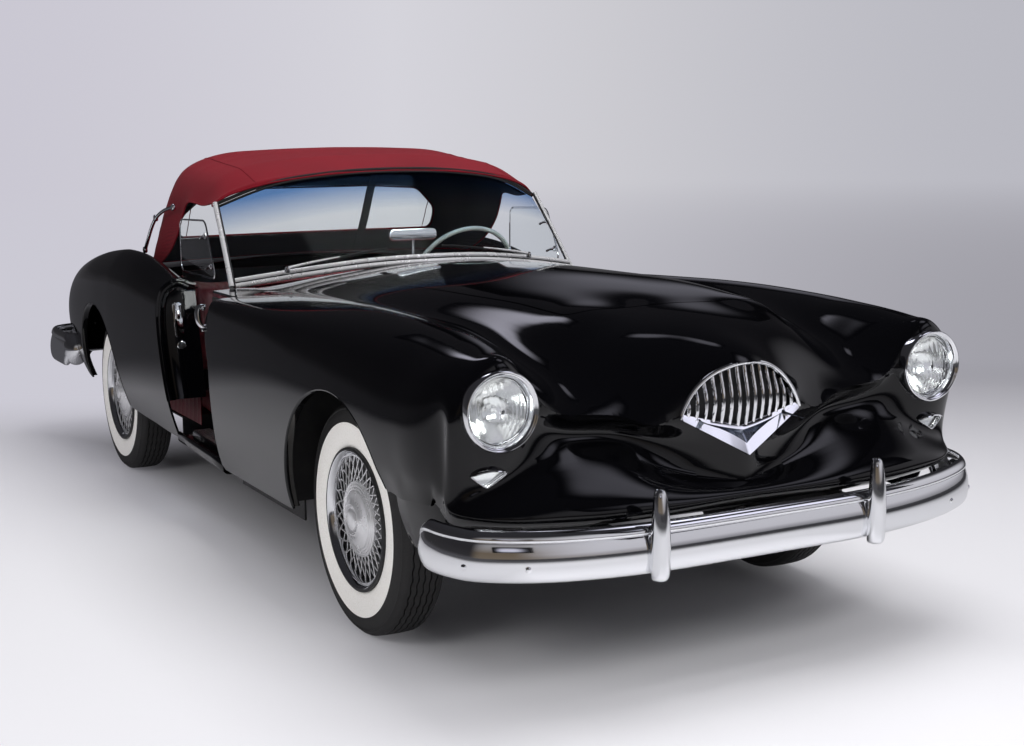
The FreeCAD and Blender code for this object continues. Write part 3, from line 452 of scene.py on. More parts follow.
def smooth_skin(piece, level, rounds=4):
    """Subdivides a cage, first moving it out until the smooth skin meets its stations."""
    mesh = piece.data
    stations = [vertex.co.copy() for vertex in mesh.vertices]
    fine = piece.modifiers.new("smooth", "SUBSURF")
    fine.levels = fine.render_levels = 1
    fine.boundary_smooth = "PRESERVE_CORNERS"
    for _ in range(rounds):
        bpy.context.view_layer.update()
        drawn = piece.evaluated_get(bpy.context.evaluated_depsgraph_get()).data
        offsets = [target - drawn.vertices[i].co for i, target in enumerate(stations)]
        for vertex, offset in zip(mesh.vertices, offsets):
            vertex.co += offset
        mesh.update()
    fine.levels = fine.render_levels = level
    return apply_all(piece)


def face_away(piece, inside):
    """Turns a skin's faces so that most of them look away from a point inside."""
    mesh = piece.data
    outward = sum((face.center - inside).normalized().dot(face.normal) * face.area for face in mesh.polygons)
    if outward < 0:
        mesh.flip_normals()
    return piece


def copy_of(piece, name):
    twin = piece.copy()
    twin.data = piece.data.copy()
    twin.name = name
    twin.data.name = name
    scene.collection.objects.link(twin)
    return twin


def thicken(piece, depth, even=True):
    wall = piece.modifiers.new("wall", "SOLIDIFY")
    wall.thickness = depth
    wall.offset = -1
    wall.use_even_offset = even
    wall.thickness_clamp = 0.5
    return apply_all(piece)


def cut(piece, tool, keep=False, operation="DIFFERENCE"):
    """Cuts a piece with a tool, or keeps what lies inside it, and clears the tool away."""
    saw = piece.modifiers.new("cut", "BOOLEAN")
    saw.operation = operation
    saw.object = tool
    saw.solver = "EXACT"
    apply_all(piece)
    if not keep:
        bpy.data.objects.remove(tool)
    return piece


FACES_OUT = (bpy.ops.mesh.normals_make_consistent, {"inside": False})


def block_from(name, outline, along):
    """A solid of straight sides: a closed outline of points pushed along a direction."""
    piece = start(name, bpy.ops.mesh.primitive_circle_add, vertices=len(outline), fill_type="NGON")
    for vertex, point in zip(piece.data.vertices, outline):
        vertex.co = point
    return edit(piece, (bpy.ops.mesh.extrude_region_move, {"TRANSFORM_OT_translate": {"value": along}}),
                (bpy.ops.mesh.select_all, {"action": "SELECT"}), FACES_OUT)


def round_corners(points, radius, steps=5):
    """Rounds the corners of a closed plan outline of (x, y) pairs."""
    result = []
    for i, (x, y) in enumerate(points):
        here = Vector((x, y))
        before = (Vector(points[i - 1]) - here).normalized() * radius
        after = (Vector(points[(i + 1) % len(points)]) - here).normalized() * radius
        for step in range(steps + 1):
            t = step / steps
            result.append(here + before * (1 - t) ** 2 + after * t ** 2)
    return result


def smooth_line(points, steps=6):
    """An open plan line drawn smoothly through its points."""
    dense = []
    for i in range(len(points) - 1):
        p0, p1 = Vector(points[max(i - 1, 0)]), Vector(points[i])
        p2, p3 = Vector(points[i + 1]), Vector(points[min(i + 2, len(points) - 1)])
        for step in range(steps):
            t = step / steps
            dense.append(0.5 * (2 * p1 + (p2 - p0) * t + (2 * p0 - 5 * p1 + 4 * p2 - p3) * t ** 2
                                + (3 * p1 - p0 - 3 * p2 + p3) * t ** 3))
    return dense + [Vector(points[-1])]


def hood_plan(grow):
    half = smooth_line(HOOD_LINE, 5)
    loop = half + [Vector((p.x, -p.y)) for p in reversed(half[1:-1])]
    out = []
    for i, point in enumerate(loop):
        along = (loop[(i + 1) % len(loop)] - loop[i - 1]).normalized()
        out.append(point * 0.001 + Vector((-along.y, along.x)) * grow)
    return out


def hood_block(grow):
    return block_from("hood_tool", [Vector((p.x, p.y, 0.80)) for p in hood_plan(grow)], (0, 0, 0.3))


def behind_screen(shift):
    """Everything behind the foot of the windshield, moved back by shift."""
    half = [(p.x * 0.001 - shift, p.y * 0.001) for p in smooth_line(SCREEN_FOOT,
                                                                    4)] + [(0.12 - shift, 0.745)]
    loop = half + [(-0.2, 0.745), (-0.2, -0.745)] + [(x, -y) for x, y in reversed(half[1:])]
    return block_from("screen_tool", [Vector((x, y, 0.6)) for x, y in loop], (0, 0, 0.6))


def drum(name, centre, radius, depth, axis, vertices=96):
    """A plain cylinder that is used only to cut with."""
    turn = Vector((0, 0, 1)).rotation_difference(Vector(axis)).to_euler()
    piece = start(name, bpy.ops.mesh.primitive_cylinder_add, vertices=vertices, radius=radius, depth=depth,
                  location=centre, rotation=turn)
    bpy.ops.object.transform_apply(location=True, rotation=True, scale=True)
    return piece


def finder_for(mesh):
    """A search tree over the faces of a mesh."""
    return BVHTree.FromPolygons([v.co for v in mesh.vertices], [p.vertices[:] for p in mesh.polygons])


def keep_gloss(piece, clean, reach=0.0015):
    """Gives the cut skin the even normals of the uncut one, so that reflections run true."""
    source = clean.data
    finder = finder_for(source)
    soft = [v.normal.copy() for v in source.vertices]
    mesh = piece.data
    found = {}
    for vertex in mesh.vertices:
        spot, normal, face, distance = finder.find_nearest(vertex.co)
        if distance is None or distance > reach:
            continue
        weights = [(1.0 / max((source.vertices[k].co - vertex.co).length, 1e-6), k)
                   for k in source.polygons[face].vertices]
        blended = Vector((0, 0, 0))
        for weight, k in weights:
            blended += soft[k] * weight
        found[vertex.index] = blended.normalized()
    normals = [None] * len(mesh.loops)
    for face in mesh.polygons:
        for loop in face.loop_indices:
            soft_normal = found.get(mesh.loops[loop].vertex_index)
            if soft_normal is not None and soft_normal.dot(face.normal) > 0.94:
                normals[loop] = soft_normal
            else:
                normals[loop] = mesh.corner_normals[loop].vector.copy()
    mesh.normals_split_custom_set(normals)


def settle(piece, body, slot, finish, *nodes, angle=30.0):
    """Last steps for a piece: shading, finish, the body it rides on and what it stands for."""
    only(piece)
    bpy.ops.object.transform_apply(location=True, rotation=True, scale=True)
    if angle is not None:
        bpy.ops.object.shade_smooth_by_angle(angle=math.radians(angle))
    if finish is not None:
        piece.data.materials.clear()
        piece.data.materials.append(finish)
    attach(piece, body)
    if nodes:
        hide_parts(*nodes)
    return piece


def effect(name, inputs, outputs):
    """An empty node group with named inputs (label, default) and outputs; only Color is a colour."""
    group = bpy.data.node_groups.new(name, "ShaderNodeTree")
    for label, default in inputs:
        kind = "NodeSocketColor" if isinstance(default, tuple) else "NodeSocketFloat"
        group.interface.new_socket(label, in_out="INPUT", socket_type=kind).default_value = default
    for label in outputs:
        kind = "NodeSocketColor" if label == "Color" else "NodeSocketFloat"
        group.interface.new_socket(label, in_out="OUTPUT", socket_type=kind)
    return group, group.nodes.new("NodeGroupInput"), group.nodes.new("NodeGroupOutput")


def finish_called(name, **sockets):
    """A new surface finish; sockets are values of its shader."""
    made = bpy.data.materials.new(name)
    made.use_nodes = True
    shader = made.node_tree.nodes["Principled BSDF"]
    for label, value in sockets.items():
        shader.inputs[label.replace("_", " ")].default_value = value
    return made, made.node_tree, shader


def placed(tree, group, **values):
    node = tree.nodes.new("ShaderNodeGroup")
    node.node_tree = group
    for label, value in values.items():
        node.inputs[label.replace("_", " ")].default_value = value
    return node


# Rubbed lacquer: a soft cloudiness in the gloss and a very faint ripple from the gun.
rubbed, into, out = effect("hand_rubbed", [("Scale", 3.0), ("Clear", 0.02), ("Hazy", 0.06),
                                           ("Ripple Scale", 140.0)],
                           ["Roughness", "Height"])
where = shader_node(rubbed, "TexCoord")
haze = shader_node(rubbed, "TexNoise", Detail=5.0, Roughness=0.6)
spread = shader_node(rubbed, "MapRange")
ripple = shader_node(rubbed, "TexNoise", Detail=1.0)
wire_up(rubbed, (where, "Object", haze, "Vector"), (where, "Object", ripple, "Vector"),
                (into, "Scale", haze, "Scale"), (into, "Ripple Scale", ripple, "Scale"),
                (haze, "Fac", spread, "Value"), (into, "Clear", spread, "To Min"),
                (into, "Hazy", spread, "To Max"), (spread, "Result", out, "Roughness"),
                (ripple, "Fac", out, "Height"))


def add_relief(tree, shader, source, distance, strength=1.0):
    """Feeds a height into the shader's normal."""
    bump = shader_node(tree, "Bump", Distance=distance, Strength=strength)
    tree.links.new(source, bump.inputs["Height"])
    wire_up(tree, (bump, "Normal", shader, "Normal"))


def overlaid(tree, shader, group, relief, strength, tints=None, **values):
    """Lays a shared effect over a finish: its colour if it has one, its gloss and its relief.
    Tints are (position, colour) stops that follow the relief."""
    layer = placed(tree, group, **values)
    if tints:
        tree.links.new(banded(tree, layer.outputs["Height"], tints), shader.inputs["Base Color"])
    for leaves, enters in (("Color", "Base Color"), ("Roughness", "Roughness")):
        if leaves in layer.outputs:
            tree.links.new(layer.outputs[leaves], shader.inputs[enters])
    add_relief(tree, shader, layer.outputs["Height"], relief, strength)


black_lacquer, tree, shader = finish_called("black_lacquer", Base_Color=(0.0012, 0.0012, 0.0017, 1),
                                            Roughness=0.12, Coat_Weight=0.75, Coat_Roughness=0.015,
                                            Coat_IOR=1.40, Specular_IOR_Level=0.08)
overlaid(tree, shader, rubbed, 0.00002, 0.25, Scale=2.5, Clear=0.05, Hazy=0.14, Ripple_Scale=90.0)

front_rows = [[mm(x, y, z) for y, z in profile] for x, profile in FRONT]
for step in range(len(NOSE[0])):
    front_rows.append([mm(*line[step]) for line in NOSE])
front_rows = [both_sides(row) for row in front_rows]
clean_front = lofted("clean_front", front_rows)
across = len(front_rows[0])
middle = across // 2


def cage_number(row, column):
    return row * across + column


for side in (1, -1):
    for column, weight in ((1, 0.9), (2, 0.8), (3, 0.55)):
        pair = (cage_number(BROW_ROW, middle + side * column),
                cage_number(BROW_ROW, middle + side * (column + 1)))
        crease(clean_front, [pair], weight)
    for column, weight in ((0, 0.75), (1, 0.6), (2, 0.5), (3, 0.45), (4, 0.3)):
        pair = (cage_number(LIP_ROW, middle + side * column),
                cage_number(LIP_ROW, middle + side * (column + 1)))
        crease(clean_front, [pair], weight)
for row in range(BROW_ROW, LIP_ROW):
    crease(clean_front, [(cage_number(row, middle), cage_number(row + 1, middle))], 0.8)
smooth_skin(clean_front, 3)
face_away(clean_front, mm(1100, 0, 500))

LAMP_Y, LAMP_Z = 0.681, 0.753
LENS_Y, LENS_Z = 0.706, 0.590                       # the middle of a parking lamp
DOOR_WALL_Y = 0.7455                                # the plane behind which the doors slide
GRILLE_HALF, GRILLE_CORNER, GRILLE_FOOT = 0.191, 0.690, 0.586
GRILLE_ROUND, GRILLE_CENTRE = 0.20164, 0.62536      # the arch: its radius and how high its centre is
LENS_OUTLINE = [(0.750, 0.6000), (0.7290, 0.6075), (0.7060, 0.6105), (0.6840, 0.6075), (0.6600, 0.6000),
                (0.6620, 0.5950), (0.6900, 0.5790), (0.7070, 0.5690), (0.7120, 0.5675), (0.7170, 0.5695),
                (0.7330, 0.5810), (0.7495, 0.5955)]


def grille_top(y):
    return GRILLE_CENTRE + math.sqrt(max(GRILLE_ROUND ** 2 - y * y, 0.0))


def grille_foot(y):
    return GRILLE_FOOT + (GRILLE_CORNER - GRILLE_FOOT) * abs(y) / GRILLE_HALF


front_shell = thicken(copy_of(clean_front, "front_body"), SHELL)
hood_panel = copy_of(front_shell, "hood_panel")
cut(hood_panel, hood_block(-HALF_GAP), operation="INTERSECT")
cut(front_shell, hood_block(HALF_GAP))
cut(front_shell, behind_screen(0.004))
for side in (1, -1):
    x, z, radius = FRONT_ARCH
    cut(front_shell, drum("arch_tool", (x, side * 0.80, z), radius, 0.5, (0, 1, 0), 128))
    cut(front_shell, drum("lamp_tool", (2.14, side * LAMP_Y, LAMP_Z), 0.100, 0.30, (1, 0, 0), 64))
    door_hole = [Vector((DOOR_MOUTH_X, side * DOOR_WALL_Y, 0.25)),
                 Vector((DOOR_MOUTH_X, side * DOOR_WALL_Y, 0.95)), Vector((0.0, side * DOOR_WALL_Y, 0.95)),
                 Vector((0.0, side * DOOR_WALL_Y, 0.25))]
    cut(front_shell, block_from("door_tool", door_hole, (0, side * 0.2, 0)))
    lens_hole = [Vector((2.0, side * (LENS_Y + (y - LENS_Y) * 1.06), LENS_Z + (z - LENS_Z) * 1.08))
                 for y, z in LENS_OUTLINE]
    cut(front_shell, block_from("lens_tool", lens_hole, (0.3, 0, 0)))
arch_line = [0.190 * math.sin(math.radians(90 - 180 * k / 32)) for k in range(33)]
grille_hole = [Vector((2.1, y, grille_top(y))) for y in arch_line] + [Vector((2.1, 0, GRILLE_FOOT))]
cut(front_shell, block_from("grille_tool", grille_hole, (0.3, 0, 0)))
keep_gloss(front_shell, clean_front)
keep_gloss(hood_panel, clean_front)
settle(front_shell, "car_body", "paint", black_lacquer, "front_fenders", "nose_panel", "cowl_panel",
       angle=None)
settle(hood_panel, "hood", "paint", black_lacquer, "hood", angle=None)

# Apron: the panel that closes the nose below the fender's lower edge, behind the bumper.
APRON_TOP = [(1.790, 0.806, 0.535), (1.860, 0.811, 0.548), (1.950, 0.801, 0.556), (2.020, 0.781, 0.550),
             (2.066, 0.738, 0.522), (2.096, 0.680, 0.492), (2.115, 0.600, 0.484)]
APRON_FOOT = [(1.802, 0.766, 0.362), (1.860, 0.769, 0.360), (1.950, 0.758, 0.360), (2.020, 0.733, 0.362),
              (2.058, 0.700, 0.364), (2.084, 0.650, 0.366), (2.100, 0.600, 0.368)]
for label, side in (("left", 1), ("right", -1)):
    rows = [[Vector((x, side * y, z)) for x, y, z in line]
            for line in (smooth_line([Vector(p) for p in APRON_TOP]),
                         smooth_line([Vector(p) for p in APRON_FOOT]))]
    belly = [a.lerp(b, 0.5) + Vector((0.004, side * 0.012, 0)) for a, b in zip(*rows)]
    apron = lofted("nose_apron_" + label, [rows[0], belly, rows[1]])
    smooth_skin(apron, 2)
    face_away(apron, Vector((1.9, 0, 0.45)))
    thicken(apron, 0.002)
    settle(apron, "car_body", "paint", black_lacquer, angle=40)


# ---- Turned edges -----------------------------------------------------------------------
# Where the moulding ends at an arch or a door mouth, it rolls inward over a small radius and
# runs on behind the skin as a stiff flange.

ROLL = [(0.0, 0.0), (0.0012, 0.0030), (0.0045, 0.0052), (0.011, 0.0052), (0.024, 0.0030)]


def turned_edge(name, edge, inward, ahead, section):
    """Strip along an edge: section is (distance inward, distance ahead of the cut)."""
    rows = [[p + i * inset + a * out for inset, out in section] for p, i, a in zip(edge, inward, ahead)]
    strip = lofted(name, rows)
    thicken(strip, 0.0015, even=False)
    return edit(strip, FACES_OUT)


finders = {}


def on_skin(skin, spot, direction):
    """Where a ray meets a smooth skin."""
    if skin.name not in finders:
        finders[skin.name] = finder_for(skin.data)
    return finders[skin.name].ray_cast(spot, direction)[0]


def arch_edge(skin, arch, side, lowest):
    """The line along which a wheel arch meets the skin, from foot to foot."""
    x, z, radius = arch
    found, radial = [], []
    for step in range(97):
        angle = math.radians(-35 + 250 * step / 96)
        spot = Vector((x + radius * math.cos(angle), side * 1.2, z + radius * math.sin(angle)))
        met = on_skin(skin, spot, Vector((0, -side, 0)))
        if met is not None and met.z > lowest and abs(met.y) > 0.6:
            found.append(met)
            radial.append(Vector((-math.cos(angle), 0, -math.sin(angle))))
    return found, radial


for label, side in (("left", 1), ("right", -1)):
    edge, radial = arch_edge(clean_front, FRONT_ARCH, side, 0.30)
    lip = turned_edge("front_arch_lip_" + label, edge, [Vector((0, -side, 0))] * len(edge), radial, ROLL)
    settle(lip, "car_body", "paint", black_lacquer)
    profile = [p for p in front_rows[2] if p.y * side > 0.70]
    profile = profile if side > 0 else profile[::-1]
    mouth = [Vector((DOOR_MOUTH_X, side * DOOR_WALL_Y, 0.8775))]
    hub = Vector((DOOR_MOUTH_X + 0.0004, side * 0.5, 0.6))
    for k in range(len(profile) * 6):
        t = k / 6
        i = min(int(t), len(profile) - 2)
        spot = profile[i].lerp(profile[i + 1], t - i)
        met = on_skin(clean_front, hub, (Vector((hub.x, spot.y, spot.z)) - hub).normalized())
        if met is not None and (met - mouth[-1]).length > 0.004:
            mouth.append(met)
    inward = []
    for i, p in enumerate(mouth):
        along = (mouth[min(i + 1, len(mouth) - 1)] - mouth[max(i - 1, 0)]).normalized()
        normal = along.cross(Vector((1, 0, 0))).normalized()
        inward.append(normal if normal.dot(Vector((0, side * 0.5, 0.5)) - p) > 0 else -normal)
    section = [(0.0, 0.0), (0.0012, 0.0035), (0.0050, 0.0065), (0.0110, 0.0070), (0.0165, 0.0045),
               (0.0185, -0.002), (0.0185, -0.030)]
    lip = turned_edge("door_mouth_" + label, mouth, inward, [Vector((-1, 0, 0))] * len(mouth), section)
    settle(lip, "car_body", "paint", black_lacquer)
bpy.data.objects.remove(clean_front)


# ---- Rear body --------------------------------------------------------------------------
# The second large moulding: two rear fenders, the deck behind the seats and the rounded tail.
# The boot lid is cut from the same skin, so its edges lie flush all round.

# x, then (y, z) at the deck middle, two lines on the lid, lid edge, valley, fender foot,
# crest, shoulder, corner, widest line, waist, low line and bottom edge, in millimetres.
REAR = [
    (-95, [(0, 864), (160, 864), (300, 864), (432, 864), (694, 864), (718, 868), (745, 872), (792, 862),
           (836, 815), (851, 700), (849, 560), (838, 430), (812, 318)]),
    (-229, [(0, 867), (160, 867), (300, 867), (432, 867), (688, 867), (714, 872), (745, 885), (796, 872),
            (839, 822), (853, 700), (850, 560), (838, 430), (812, 318)]),
    (-400, [(0, 868), (160, 868), (300, 868), (432, 868), (672, 868), (700, 876), (745, 916), (798, 895),
            (842, 830), (856, 700), (852, 560), (838, 430), (808, 320)]),
    (-560, [(0, 868), (160, 868), (300, 868), (432, 868), (663, 868), (696, 879), (743, 938), (801, 911),
            (845, 836), (858, 700), (854, 560), (838, 430), (807, 322)]),
    (-712, [(0, 868), (160, 868), (300, 868), (432, 868), (655, 868), (692, 880), (742, 949), (802, 918),
            (847, 838), (859, 700), (855, 560), (838, 430), (806, 325)]),
    (-868, [(0, 897), (160, 893), (300, 887), (432, 880), (638, 868), (688, 880), (742, 950), (802, 918),
            (847, 836), (859, 700), (855, 560), (838, 430), (806, 328)]),
    (-968, [(0, 900), (160, 898), (300, 892), (432, 884), (636, 867), (686, 880), (741, 945), (802, 912),
            (846, 830), (857, 700), (853, 560), (836, 430), (805, 331)]),
    (-1152, [(0, 895), (160, 893), (300, 886), (432, 876), (622, 859), (682, 876), (737, 929), (798, 893),
             (842, 815), (853, 700), (850, 560), (834, 430), (803, 335)]),
    (-1370, [(0, 883), (160, 881), (300, 874), (432, 863), (604, 847), (667, 862), (727, 902), (790, 868),
             (832, 792), (843, 682), (838, 552), (821, 430), (790, 338)]),
    (-1596, [(0, 862), (160, 860), (300, 853), (432, 843), (583, 830), (648, 843), (711, 867), (774, 834),
             (816, 760), (828, 660), (821, 540), (802, 430), (770, 342)]),
    (-1830, [(0, 814), (160, 812), (300, 806), (432, 797), (566, 789), (630, 799), (691, 817), (750, 784),
             (788, 712), (799, 620), (791, 522), (769, 430), (733, 346)]),
    (-2032, [(0, 752), (160, 750), (300, 744), (432, 737), (550, 731), (602, 737), (655, 748), (705, 716),
             (738, 658), (750, 590), (742, 510), (720, 430), (680, 352)]),
]
TAIL = [
    [(-2105, 0, 721), (-2185, 0, 668), (-2245, 0, 600), (-2270, 0, 525), (-2264, 0, 440), (-2235, 0, 350)],
    [(-2105, 160, 718), (-2184, 160, 666), (-2244, 160, 600), (-2269, 160, 525), (-2263, 160, 441),
     (-2234, 160, 351)],
    [(-2103, 300, 711), (-2181, 300, 661), (-2240, 300, 600), (-2263, 300, 526), (-2257, 300, 444),
     (-2228, 300, 354)],
    [(-2101, 432, 703), (-2176, 432, 654), (-2234, 432, 598), (-2255, 432, 528), (-2249, 432, 448),
     (-2220, 432, 360)],
    [(-2100, 541, 696), (-2171, 531, 650), (-2223, 522, 593), (-2242, 515, 526), (-2236, 510, 450),
     (-2209, 505, 368)],
    [(-2096, 590, 702), (-2163, 579, 657), (-2210, 569, 594), (-2228, 562, 527), (-2222, 556, 455),
     (-2198, 550, 372)],
    [(-2092, 638, 712), (-2152, 626, 666), (-2194, 617, 602), (-2210, 610, 531), (-2204, 602, 460),
     (-2181, 594, 376)],
    [(-2084, 686, 684), (-2136, 670, 642), (-2170, 659, 591), (-2182, 652, 530), (-2176, 642, 464),
     (-2153, 632, 380)],
    [(-2074, 719, 640), (-2116, 703, 612), (-2142, 692, 574), (-2150, 686, 528), (-2142, 676, 468),
     (-2121, 664, 384)],
    [(-2066, 736, 581), (-2100, 724, 567), (-2121, 714, 549), (-2127, 708, 521), (-2119, 700, 470),
     (-2099, 688, 386)],
    [(-2060, 730, 508), (-2087, 720, 504), (-2103, 712, 499), (-2107, 706, 489), (-2099, 698, 461),
     (-2083, 686, 388)],
    [(-2054, 710, 432), (-2074, 701, 434), (-2084, 694, 435), (-2087, 690, 434), (-2080, 684, 424),
     (-2068, 674, 389)],
    [(-2048, 672, 357), (-2062, 665, 362), (-2071, 659, 368), (-2073, 655, 373), (-2068, 652, 379),
     (-2058, 650, 385)],
]
REAR_ARCH = (-1.160, 0.341, 0.375)
JAMB_TOP = (-0.229, 0.868)               # x and z of the slanted front edge of the fender
JAMB_FOOT = (-0.104, 0.318)
LID_HALF = 0.430
LID_FRONT = -0.968
LID_REAR = -2.100

rear_rows = [[mm(x, y, z) for y, z in profile] for x, profile in REAR]
for step in range(len(TAIL[0])):
    rear_rows.append([mm(*line[step]) for line in TAIL])
rear_rows = [both_sides(row) for row in rear_rows]
clean_rear = lofted("clean_rear", rear_rows)
across = len(rear_rows[0])
middle = across // 2
bpy.ops.object.mode_set(mode="EDIT")
cage = bmesh.from_edit_mesh(clean_rear.data)
cage.verts.ensure_lookup_table()
bpy.ops.mesh.select_all(action="DESELECT")
for face in cage.faces:
    face.select = face.calc_center_median().x > -0.867 and abs(face.calc_center_median().y) < 0.62
bmesh.update_edit_mesh(clean_rear.data)
bpy.ops.mesh.delete(type="FACE")
bpy.ops.object.mode_set(mode="OBJECT")
smooth_skin(clean_rear, 3)
face_away(clean_rear, mm(-1400, 0, 500))


def jamb_x(z):
    """x of the slanted jamb plane at a height."""
    t = (z - JAMB_FOOT[1]) / (JAMB_TOP[1] - JAMB_FOOT[1])
    return JAMB_FOOT[0] + t * (JAMB_TOP[0] - JAMB_FOOT[0])


def lid_block(grow):
    corners = [(LID_FRONT + grow, LID_HALF + grow), (LID_REAR - grow, LID_HALF + grow),
               (LID_REAR - grow, -LID_HALF - grow), (LID_FRONT + grow, -LID_HALF - grow)]
    return block_from("lid_tool", [Vector((p.x, p.y, 0.62)) for p in round_corners(corners, 0.07)],
                      (0, 0, 0.4))


rear_shell = thicken(copy_of(clean_rear, "rear_body"), SHELL)
lid_panel = copy_of(rear_shell, "boot_panel")
cut(lid_panel, lid_block(-HALF_GAP), operation="INTERSECT")
cut(rear_shell, lid_block(HALF_GAP))
for side in (1, -1):
    x, z, radius = REAR_ARCH
    cut(rear_shell, drum("arch_tool", (x, side * 0.80, z), radius, 0.5, (0, 1, 0), 128))
    ahead = [Vector((jamb_x(1.0), side * 0.60, 1.0)), Vector((jamb_x(0.2), side * 0.60, 0.2)),
             Vector((0.5, side * 0.60, 0.2)), Vector((0.5, side * 0.60, 1.0))]
    cut(rear_shell, block_from("jamb_tool", ahead, (0, side * 0.4, 0)))
keep_gloss(rear_shell, clean_rear)
keep_gloss(lid_panel, clean_rear)
settle(rear_shell, "car_body", "paint", black_lacquer, "rear_quarter_left", "rear_quarter_right",
       "rear_deck", "tail_panel", angle=None)
settle(lid_panel, "boot_lid", "paint", black_lacquer, "boot_lid", angle=None)

# The jamb the door shuts on: a rolled edge, a groove for the rubber, and the closing panel.
JAMB_SECTION = [(0.0, 0.0), (0.0015, 0.0060), (0.0060, 0.0110), (0.0130, 0.0135), (0.0210, 0.0125),
                (0.0255, 0.0070), (0.0275, -0.0040), (0.0380, -0.0050), (0.0400, 0.0020), (0.0430, 0.0040)]
JAMB_SET_BACK = 0.019
slope = Vector((JAMB_TOP[0] - JAMB_FOOT[0], 0, JAMB_TOP[1] - JAMB_FOOT[1])).normalized()
jamb_ahead = Vector((slope.z, 0, -slope.x))
for label, side in (("left", 1), ("right", -1)):
    edge, radial = arch_edge(clean_rear, REAR_ARCH, side, 0.315)
    lip = turned_edge("rear_arch_lip_" + label, edge, [Vector((0, -side, 0))] * len(edge), radial, ROLL)
    settle(lip, "car_body", "paint", black_lacquer)
    edge, inward = [], []
    for step in range(73):
        angle = math.radians(-52 + step * 176 / 72)
        hub = Vector((jamb_x(0.60), side * 0.72, 0.60))
        aim_at = (Vector((0, side * math.cos(angle), 0)) + slope * math.sin(angle)).normalized()
        met = on_skin(clean_rear, hub - jamb_ahead * 0.0006, aim_at)
        if met is not None and met.z > 0.321 and abs(met.y) > 0.700:
            edge.append(met)
    for i, p in enumerate(edge):
        along = (edge[min(i + 1, len(edge) - 1)] - edge[max(i - 1, 0)]).normalized()
        normal = along.cross(jamb_ahead).normalized()
        normal = normal if normal.dot(Vector((p.x, side * 0.70, 0.60)) - p) > 0 else -normal
        inward.append(normal if p.z > 0.36 else Vector((0, -side, 0)))
    rows = []
    for p, i in zip(edge, inward):
        row = [p + i * inset + jamb_ahead * (out - JAMB_SET_BACK * min(1.0, inset / 0.003))
               for inset, out in JAMB_SECTION]
        last = row[-1]
        row.append(Vector((last.x, side * min(abs(last.y), 0.715), min(last.z, 0.862))))
        row.append(Vector((last.x, side * 0.690, min(last.z, 0.860))))
        rows.append(row)
    jamb = lofted("jamb_" + label, rows)
    thicken(jamb, 0.002, even=False)
    edit(jamb, (bpy.ops.mesh.remove_doubles, {"threshold": 0.0001}), FACES_OUT)
    settle(jamb, "car_body", "paint", black_lacquer, angle=40)
bpy.data.objects.remove(clean_rear)


# ---- Doors ------------------------------------------------------------------------------
# Each door is a shallow box on a track that slides forward into the fender: a pressed outer
# skin, a folded edge, a stuffed trim panel inside, a bright capping and an upright pull.

DOOR_SECTION = [(763, 840), (766, 846), (776, 848), (788, 844), (800, 831), (819, 798), (829, 740),
                (831, 680), (829, 560), (822, 470), (812, 390), (799, 330), (794, 326), (786, 326)]
DOOR_FRONT_X = 0.418
DOOR_TRAVEL = 0.500
DOORS = ("door_left", "door_right")
CAP_SECTION = [(0.7625, 0.8500), (0.7650, 0.8525), (0.7720, 0.8530), (0.7780, 0.8515), (0.7800, 0.8485)]


def other_side(piece, name, shift=0.0):
    """A mirrored copy for the other side of the car, moved along it."""
    twin = copy_of(piece, name)
    for vertex in twin.data.vertices:
        vertex.co.y = -vertex.co.y
        vertex.co.x += shift
    twin.data.flip_normals()
    return twin


def outward(piece):
    """Merges what lies together and turns every face out."""
    return edit(piece, (bpy.ops.mesh.remove_doubles, {"threshold": 0.00002}), FACES_OUT)


def settle_both(piece, twin_name, slot, finish, bodies=("car_body", "car_body"), nodes=((), ()),
                shift=0.0, angle=30.0):
    """Settles a piece of the left side and its mirrored copy."""
    twin = other_side(piece, twin_name, shift)
    for side_piece, body, stands_for in zip((piece, twin), bodies, nodes):
        settle(side_piece, body, slot, finish, *stands_for, angle=angle)
    return piece, twin


def rounded(piece, width, segments=2, angle=35.0):
    """Breaks the sharp edges of a piece."""
    soft = piece.modifiers.new("edge", "BEVEL")
    soft.width = width
    soft.segments = segments
    soft.limit_method = "ANGLE"
    soft.angle_limit = math.radians(angle)
    soft.harden_normals = False
    return apply_all(piece)


def joined(name, *parts):
    """Joins pieces into one mesh; each keeps its own finish."""
    only(parts[0])
    for part in parts[1:]:
        part.select_set(True)
    bpy.ops.object.join()
    parts[0].name = name
    parts[0].data.name = name
    return parts[0]


def painted(piece, finish):
    piece.data.materials.clear()
    piece.data.materials.append(finish)
    return piece


chrome, tree, shader = finish_called("bright_plate", Base_Color=(0.86, 0.87, 0.89, 1), Metallic=1.0,
                                     Roughness=0.05)
overlaid(tree, shader, rubbed, 0.00003, 0.25, Scale=9.0, Clear=0.025, Hazy=0.10, Ripple_Scale=60.0)

